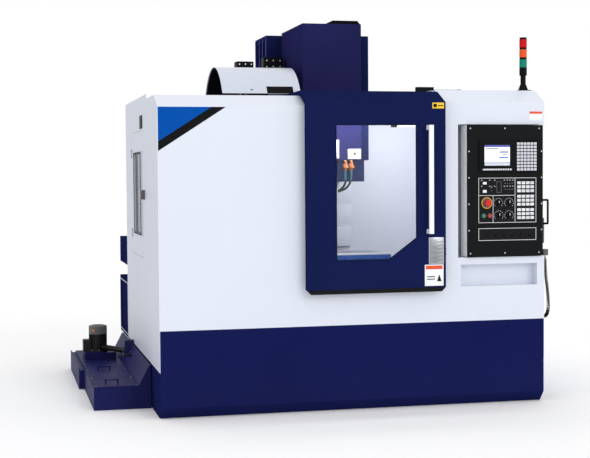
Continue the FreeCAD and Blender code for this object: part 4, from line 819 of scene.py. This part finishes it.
# %% Plates, valves and drive bolts
make("head_plate", "head", white_plastic, [(block, (1429, 697.4, 1649), (1523, 700.2, 1719), 0.8)])
make("head_plate_port", "head", black_plastic, [(bar, (1478, 697.8, 1686), "y", -3, 10, 8, 24, 0.6)])
make("duct_cover", "head", navy, [(block, (1529, 786, 1641), (1607, 914, 2519), 3.0)])
make("head_strip", "head", white_plastic, [(block, (1342, 697.0, 1654), (1364, 700.2, 1783), 0.8)])
make("coolant_valves", "head", brass,
     [shape for x in (1410, 1452) for shape in (
         (bar, (x, 702, 1572), "z", 44, 17, None, 6, 1.5), (bar, (x, 702, 1616), "z", 24, 11, None, 20, 0.6),
         (bar, (x, 704, 1590), "y", -20, 6, None, 16, 0.6), (block, (x - 4, 682, 1584), (x + 22, 687, 1596), 1.5))])
make("cover_screws", "head", head_paint,
     [(bar, (x, 700.3, z), "y", -2.4, 4.5, 3.6, 12, 0.5) for x in (1121, 1515) for z in (1760, 2030, 2300, 2560)])
bolts = [(x, z) for x in (956, 1006, 1056) for z in (2375, 2330)]
bolts += [(x, z) for x in (752, 796, 840) for z in (2345, 2312)]
make("drive_bolts", "enclosure", bright_steel,
     [(bar, (x, 1190.3, z), "y", -4, 6, None, 6, 0.6) for x, z in bolts])
make("drive_lids", "enclosure", black,
     [(block, (940, 1187.5, 2308), (1071, 1190.2, 2320), 1.0), (block, (740, 1187.5, 2292), (851, 1190.2, 2302), 1.0)])

# %% Tool pots, tools and the magazine's plain label
DRUM_Y, DRUM_Z, POT_RING = 870, 1864, 275
pot = span("tool_drum")[0][0]
centre = (pot, DRUM_Y, DRUM_Z)
make("pot_rims", "drum", bright_steel,
     [(spread, hoop, ((pot + 1.5, DRUM_Y, DRUM_Z + POT_RING), "x", 31, 2.5, 24), centre, "x", 20)])
make("tool_holders", "drum", bright_steel,
     [(spread, bar, ((pot - 16, DRUM_Y, DRUM_Z + POT_RING), "x", 17, 26, None, 24, 1.2), centre, "x", 10),
      (spread, bar, ((pot - 34, DRUM_Y, DRUM_Z + POT_RING), "x", 19, 22, None, 24, 1.2), centre, "x", 10)])
make("tool_shanks", "drum", steel,
     [(spread, bar, ((pot - 92, DRUM_Y, DRUM_Z + POT_RING), "x", 60, 8, 10, 16, 0.8), centre, "x", 10)])


def wrap(bm, x0, x1, radius, start, stop, thick):
    """A sheet bent round the drum's axis, between two angles up from the front."""
    lean = math.radians(start)
    y, z = DRUM_Y - radius * math.cos(lean), DRUM_Z + radius * math.sin(lean)
    edge = bm.edges.new([bm.verts.new(at(x, y, z)) for x in (x0, x1)])
    bmesh.ops.spin(bm, geom=[*edge.verts, edge], cent=at(x0, DRUM_Y, DRUM_Z), axis=(1, 0, 0),
                   angle=-math.radians(stop - start), steps=max(6, int((stop - start) / 4)))
    bmesh.ops.recalc_face_normals(bm, faces=bm.faces)
    bmesh.ops.solidify(bm, geom=bm.faces[:], thickness=thick / 1000)


make("shroud_label", "enclosure", black, [(wrap, 813, 996, 430.4, 32.2, 40.2, 0.8)])
# A black sheet just inside the shroud, over its top and back: painted shade for the shroud's dark inside.
make("magazine_inner_shade", "enclosure", black,
     [(wrap, 512, 850, 425.5, 33.5, 206, 1.2)])
make("shroud_screw", "enclosure", black, [(bar, (709, 526, 2112), "y", -6, 10, 9, 16, 0.6)])

# %% [markdown]
# ## Coolant pump, tank and base
# The pump's motor is cooled by thin upright fins and a fan under the cowl on top. Fins are one
# small block repeated round the axis. Bolts hold the flange down, and a plate closes the tank.

# %% Pump fins, fan grille, bolts and terminal box
low, high = span("coolant_pump")
PUMP = (-238, 1900)
make("pump_fins", "enclosure", black_plastic,
     [(spread, block, ((PUMP[0] + 62, PUMP[1] - 1.3, 216), (PUMP[0] + 68.5, PUMP[1] + 1.3, 333), 0.5),
       (*PUMP, 0), "z", 40)])
make("pump_cowl", "enclosure", grey_plastic,
     [(hoop, (*PUMP, 338), "z", 68.4, 2.2), (hoop, (*PUMP, 388), "z", 67.6, 2.2),
      (hoop, (*PUMP, 400.2), "z", 40, 1.4), (hoop, (*PUMP, 400.2), "z", 28, 1.4), (hoop, (*PUMP, 400.2), "z", 16, 1.4),
      (spread, block, ((PUMP[0] + 6, PUMP[1] - 1.5, 399.4), (PUMP[0] + 52, PUMP[1] + 1.5, 401), 0.3),
       (*PUMP, 0), "z", 6),
      (bar, (*PUMP, 399.6), "z", 1.6, 9, 8)])
make("pump_bolts", "enclosure", bright_steel,
     [(spread, bar, ((PUMP[0] + 71, PUMP[1], 211), "z", 6, 4.5, None, 6, 0.5), (*PUMP, 0), "z", 8)])
make("pump_badge", "enclosure", orange_plastic,
     [(block, (PUMP[0] - 45, PUMP[1] - 60, 352), (PUMP[0] - 30, PUMP[1] - 52, 376), 1.0)])
make("tank_plate", "enclosure", tank_navy,
     [(rim, upright(-186, -92, 26, 118, 445.2), 7, (0, -2.2, 0)),
      (block, (-176, 443.6, 36), (-102, 445.3, 108), 1.0)])
make("tank_bolts", "enclosure", steel,
     [(bar, (x, y, 155), "z", 3.4, 4.5, None, 6, 0.5)
      for x in (-366, -100) for y in (465, 800, 840, 1215, 1510)])
make("tank_filler", "enclosure", rubber,
     [(hoop, (-52, 1350, 236), "z", 26, 6), (hoop, (-52, 1350, 236), "z", 15, 4)])

# %% Wall fasteners
make("wall_screws", "enclosure", bright_steel,
     [(bar, (-0.1, y, z), "x", -2.0, 5, 4, 12, 0.4) for y in (200, 700, 1600, 1900) for z in (340, 1200, 2040)
      if not 790 < y < 1510] + [(bar, (2600.1, y, z), "x", 2.0, 5, 4, 12, 0.4)
                                for y in (260, 700, 1250, 1900) for z in (340, 1200, 2040)])

# %% [markdown]
# ## Inside and behind
# The table has a painted strip along its front and clamping nuts in its slots. A cover of three
# leaves hides the column's ways under the head, above a fixed low guard. Behind,
# the electrical box has a door with louvres and a quarter-turn lock.

# %% Table guard and clamping nuts
low, high = span("table")
make("table_guard", "table_body", blue_label,
     [(block, (low[0] + 2, low[1] - 3, 905), (high[0] - 2, low[1] + 0.3, 977), 0.8)])
make("table_guard_edge", "table_body", white_plastic,
     [(block, (low[0] + 2, low[1] - 3.5, 977), (high[0] - 2, low[1] + 2.8, 990), 0.6)])
slots = [870 + 100 * i for i in range(-2, 3)]
make("slot_nuts", "table_body", bright_steel,
     [(block, (x - 14, y - 8, high[2] - 12), (x + 14, y + 8, high[2] - 3), 1.0)
      for x in (low[0] + 60, high[0] - 60) for y in slots])

# %% Column ribs and the seams of the rear wall
# The ribs carry the lighter paint, which is a painted highlight.
make("column_ribs", "enclosure", rib_painted_highlight,
     [(block, (992.5, y, 1500), (996.2, y + 7, 2572), 0.8) for y in (1401, 1523, 1643, 1790)])
rear = span("inner_walls")[1][1]
make("rear_wall_seams", "enclosure", rubber,
     [(block, (x, rear - 0.3, 330), (x + 3, rear + 0.8, 2040), 0.2) for x in (640, 1300, 1960)])
make("rear_wall_screws", "enclosure", bright_steel,
     [(bar, (x, rear - 0.2, z), "y", 2.2, 5, 4, 12, 0.4)
      for x in (620, 664, 1280, 1324, 1940, 1984) for z in (380, 930, 1480, 2000)])
make("rear_blank_plate", "enclosure", grey_plastic,
     [(block, (2160, rear - 0.3, 1480), (2340, rear + 1.4, 1600), 0.6)])

# %% Cover of three leaves and low guard on the column's ways
COVER_LOW, COVER_HIGH, LEAVES = 1000.0, 1486.0, 3
COVER_LEFT, COVER_RIGHT, LEAF_STEP, LEAF_LIP = 1000, 1638, 0.4, 8
leaf = (COVER_HIGH - COVER_LOW) / LEAVES
leaves = []
for i in range(LEAVES):
    back_by, foot, top = LEAF_STEP * i, COVER_LOW + leaf * i, COVER_LOW + leaf * (i + 1)
    leaves += [
        (block, (COVER_LEFT, 1363.4 + back_by, foot), (COVER_RIGHT, 1364.6 + back_by, top), 0.2),
        (block, (COVER_LEFT, 1362.2 + back_by, top - LEAF_LIP), (COVER_RIGHT, 1363.8 + back_by, top), 0.2),
    ]
way_cover = make("way_cover", "enclosure", inner_white, leaves)
strips = ((COVER_LEFT, 1140), (1180, 1256), (1380, 1456), (1496, COVER_RIGHT))
make("lower_way_guard", "enclosure", inner_white,
     [(block, (x0, 1386, 700), (x1, 1399.6, 1001), 1.0) for x0, x1 in strips])
head_range = next(joint["range_m"] for joint in frame["joints"] if joint["name"] == "head_z")
head_drop = max(abs(limit) for limit in head_range)
tuple(at(1318, 1364, COVER_LOW))
1 - head_drop * 1000 / (COVER_HIGH - COVER_LOW)
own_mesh(way_cover)

# %% Electrical box: door edge, louvres, lock and side vents
low, high = span("rear_boxes")
back = high[1]
louvres = [(block, (60, back - 0.4, z), (370, back + 2.0, z + 5), 1.0) for z in range(600, 690, 13)]
make("rear_louvres", "enclosure", navy, louvres)
make("rear_door_edge", "enclosure", rubber,
     [(rim, [(x, back - 0.2, z) for x, z in ((22, 298), (22, 716), (408, 716), (408, 298))], 4, (0, 1.6, 0))])
make("rear_lock", "enclosure", bright_steel,
     [(bar, (385, back - 0.2, 470), "y", 1.4, 13, 12, 24, 0.4),
      (block, (381, back + 1.0, 462), (389, back + 2.0, 478), 0.4)])
side_x = 425.2
make("box_side_vents", "enclosure", black_plastic,
     [(block, (side_x - 0.4, y, z), (side_x + 2.0, y + 46, z + 5), 0.8)
      for y in (2060, 2250, 2440) for z in range(420, 500, 12)])
# The rim takes the side walls' greyer paint, which is painted shade.
make("rear_box_rim", "enclosure", shaded_side_white,
     [(rim, [(4.4, 1966, 304), (4.4, 1966, 710), (4.4, 2566, 710), (4.4, 2566, 304)], 5, (-3.4, 0, 0))])

# %% [markdown]
# ## Floor and light
# A pale floor and a white room light the machine evenly. One soft sun from the right front
# makes the front brighter than the left wall, helped by painted shade in the side walls' greyer
# paint, and a lamp inside brightens the work area.

# %% Floor, room and lamps
bm = bmesh.new()
bmesh.ops.create_grid(bm, x_segments=1, y_segments=1, size=14.0)
floor_mesh = bpy.data.meshes.new("floor")
bm.to_mesh(floor_mesh)
bm.free()
floor = bpy.data.objects.new("floor", floor_mesh)
bpy.context.scene.collection.objects.link(floor)
pale = Finish("pale_floor", {"Roughness": 0.9, "Specular IOR Level": 0.05})
pale.use("Base Color", pale.mix(pale.noise(0.4, 2), tone(250, 250, 251), tone(253, 253, 253)))
floor_mesh.materials.append(pale.material)

world = bpy.data.worlds.new("room")
world.use_nodes = True
world.node_tree.nodes["Background"].inputs["Color"].default_value = (1, 1, 1, 1)
world.node_tree.nodes["Background"].inputs["Strength"].default_value = 1.0
bpy.context.scene.world = world


def light(name, kind, energy, place, look_at, **facts):
    """A lamp at one place that looks at another."""
    data = bpy.data.lights.new(name, kind)
    data.energy = energy
    for key, value in facts.items():
        setattr(data, key, value)
    made = bpy.data.objects.new(name, data)
    turn = (at(*look_at) - at(*place)).to_track_quat("-Z", "Y")
    made.matrix_world = Matrix.Translation(at(*place)) @ turn.to_matrix().to_4x4()
    bpy.context.scene.collection.objects.link(made)
    return made


light("soft_sun", "SUN", 0.55, (4200, -6000, 4200), (1300, 800, 1000), angle=math.radians(25))
light("work_area", "AREA", 18, (1400, 700, 2000), (1400, 900, 900), shape="RECTANGLE", size=1.4, size_y=0.5)
light("work_area_front", "AREA", 6, (1400, 120, 1900), (1400, 1400, 1300),
      shape="RECTANGLE", size=0.9, size_y=0.2)
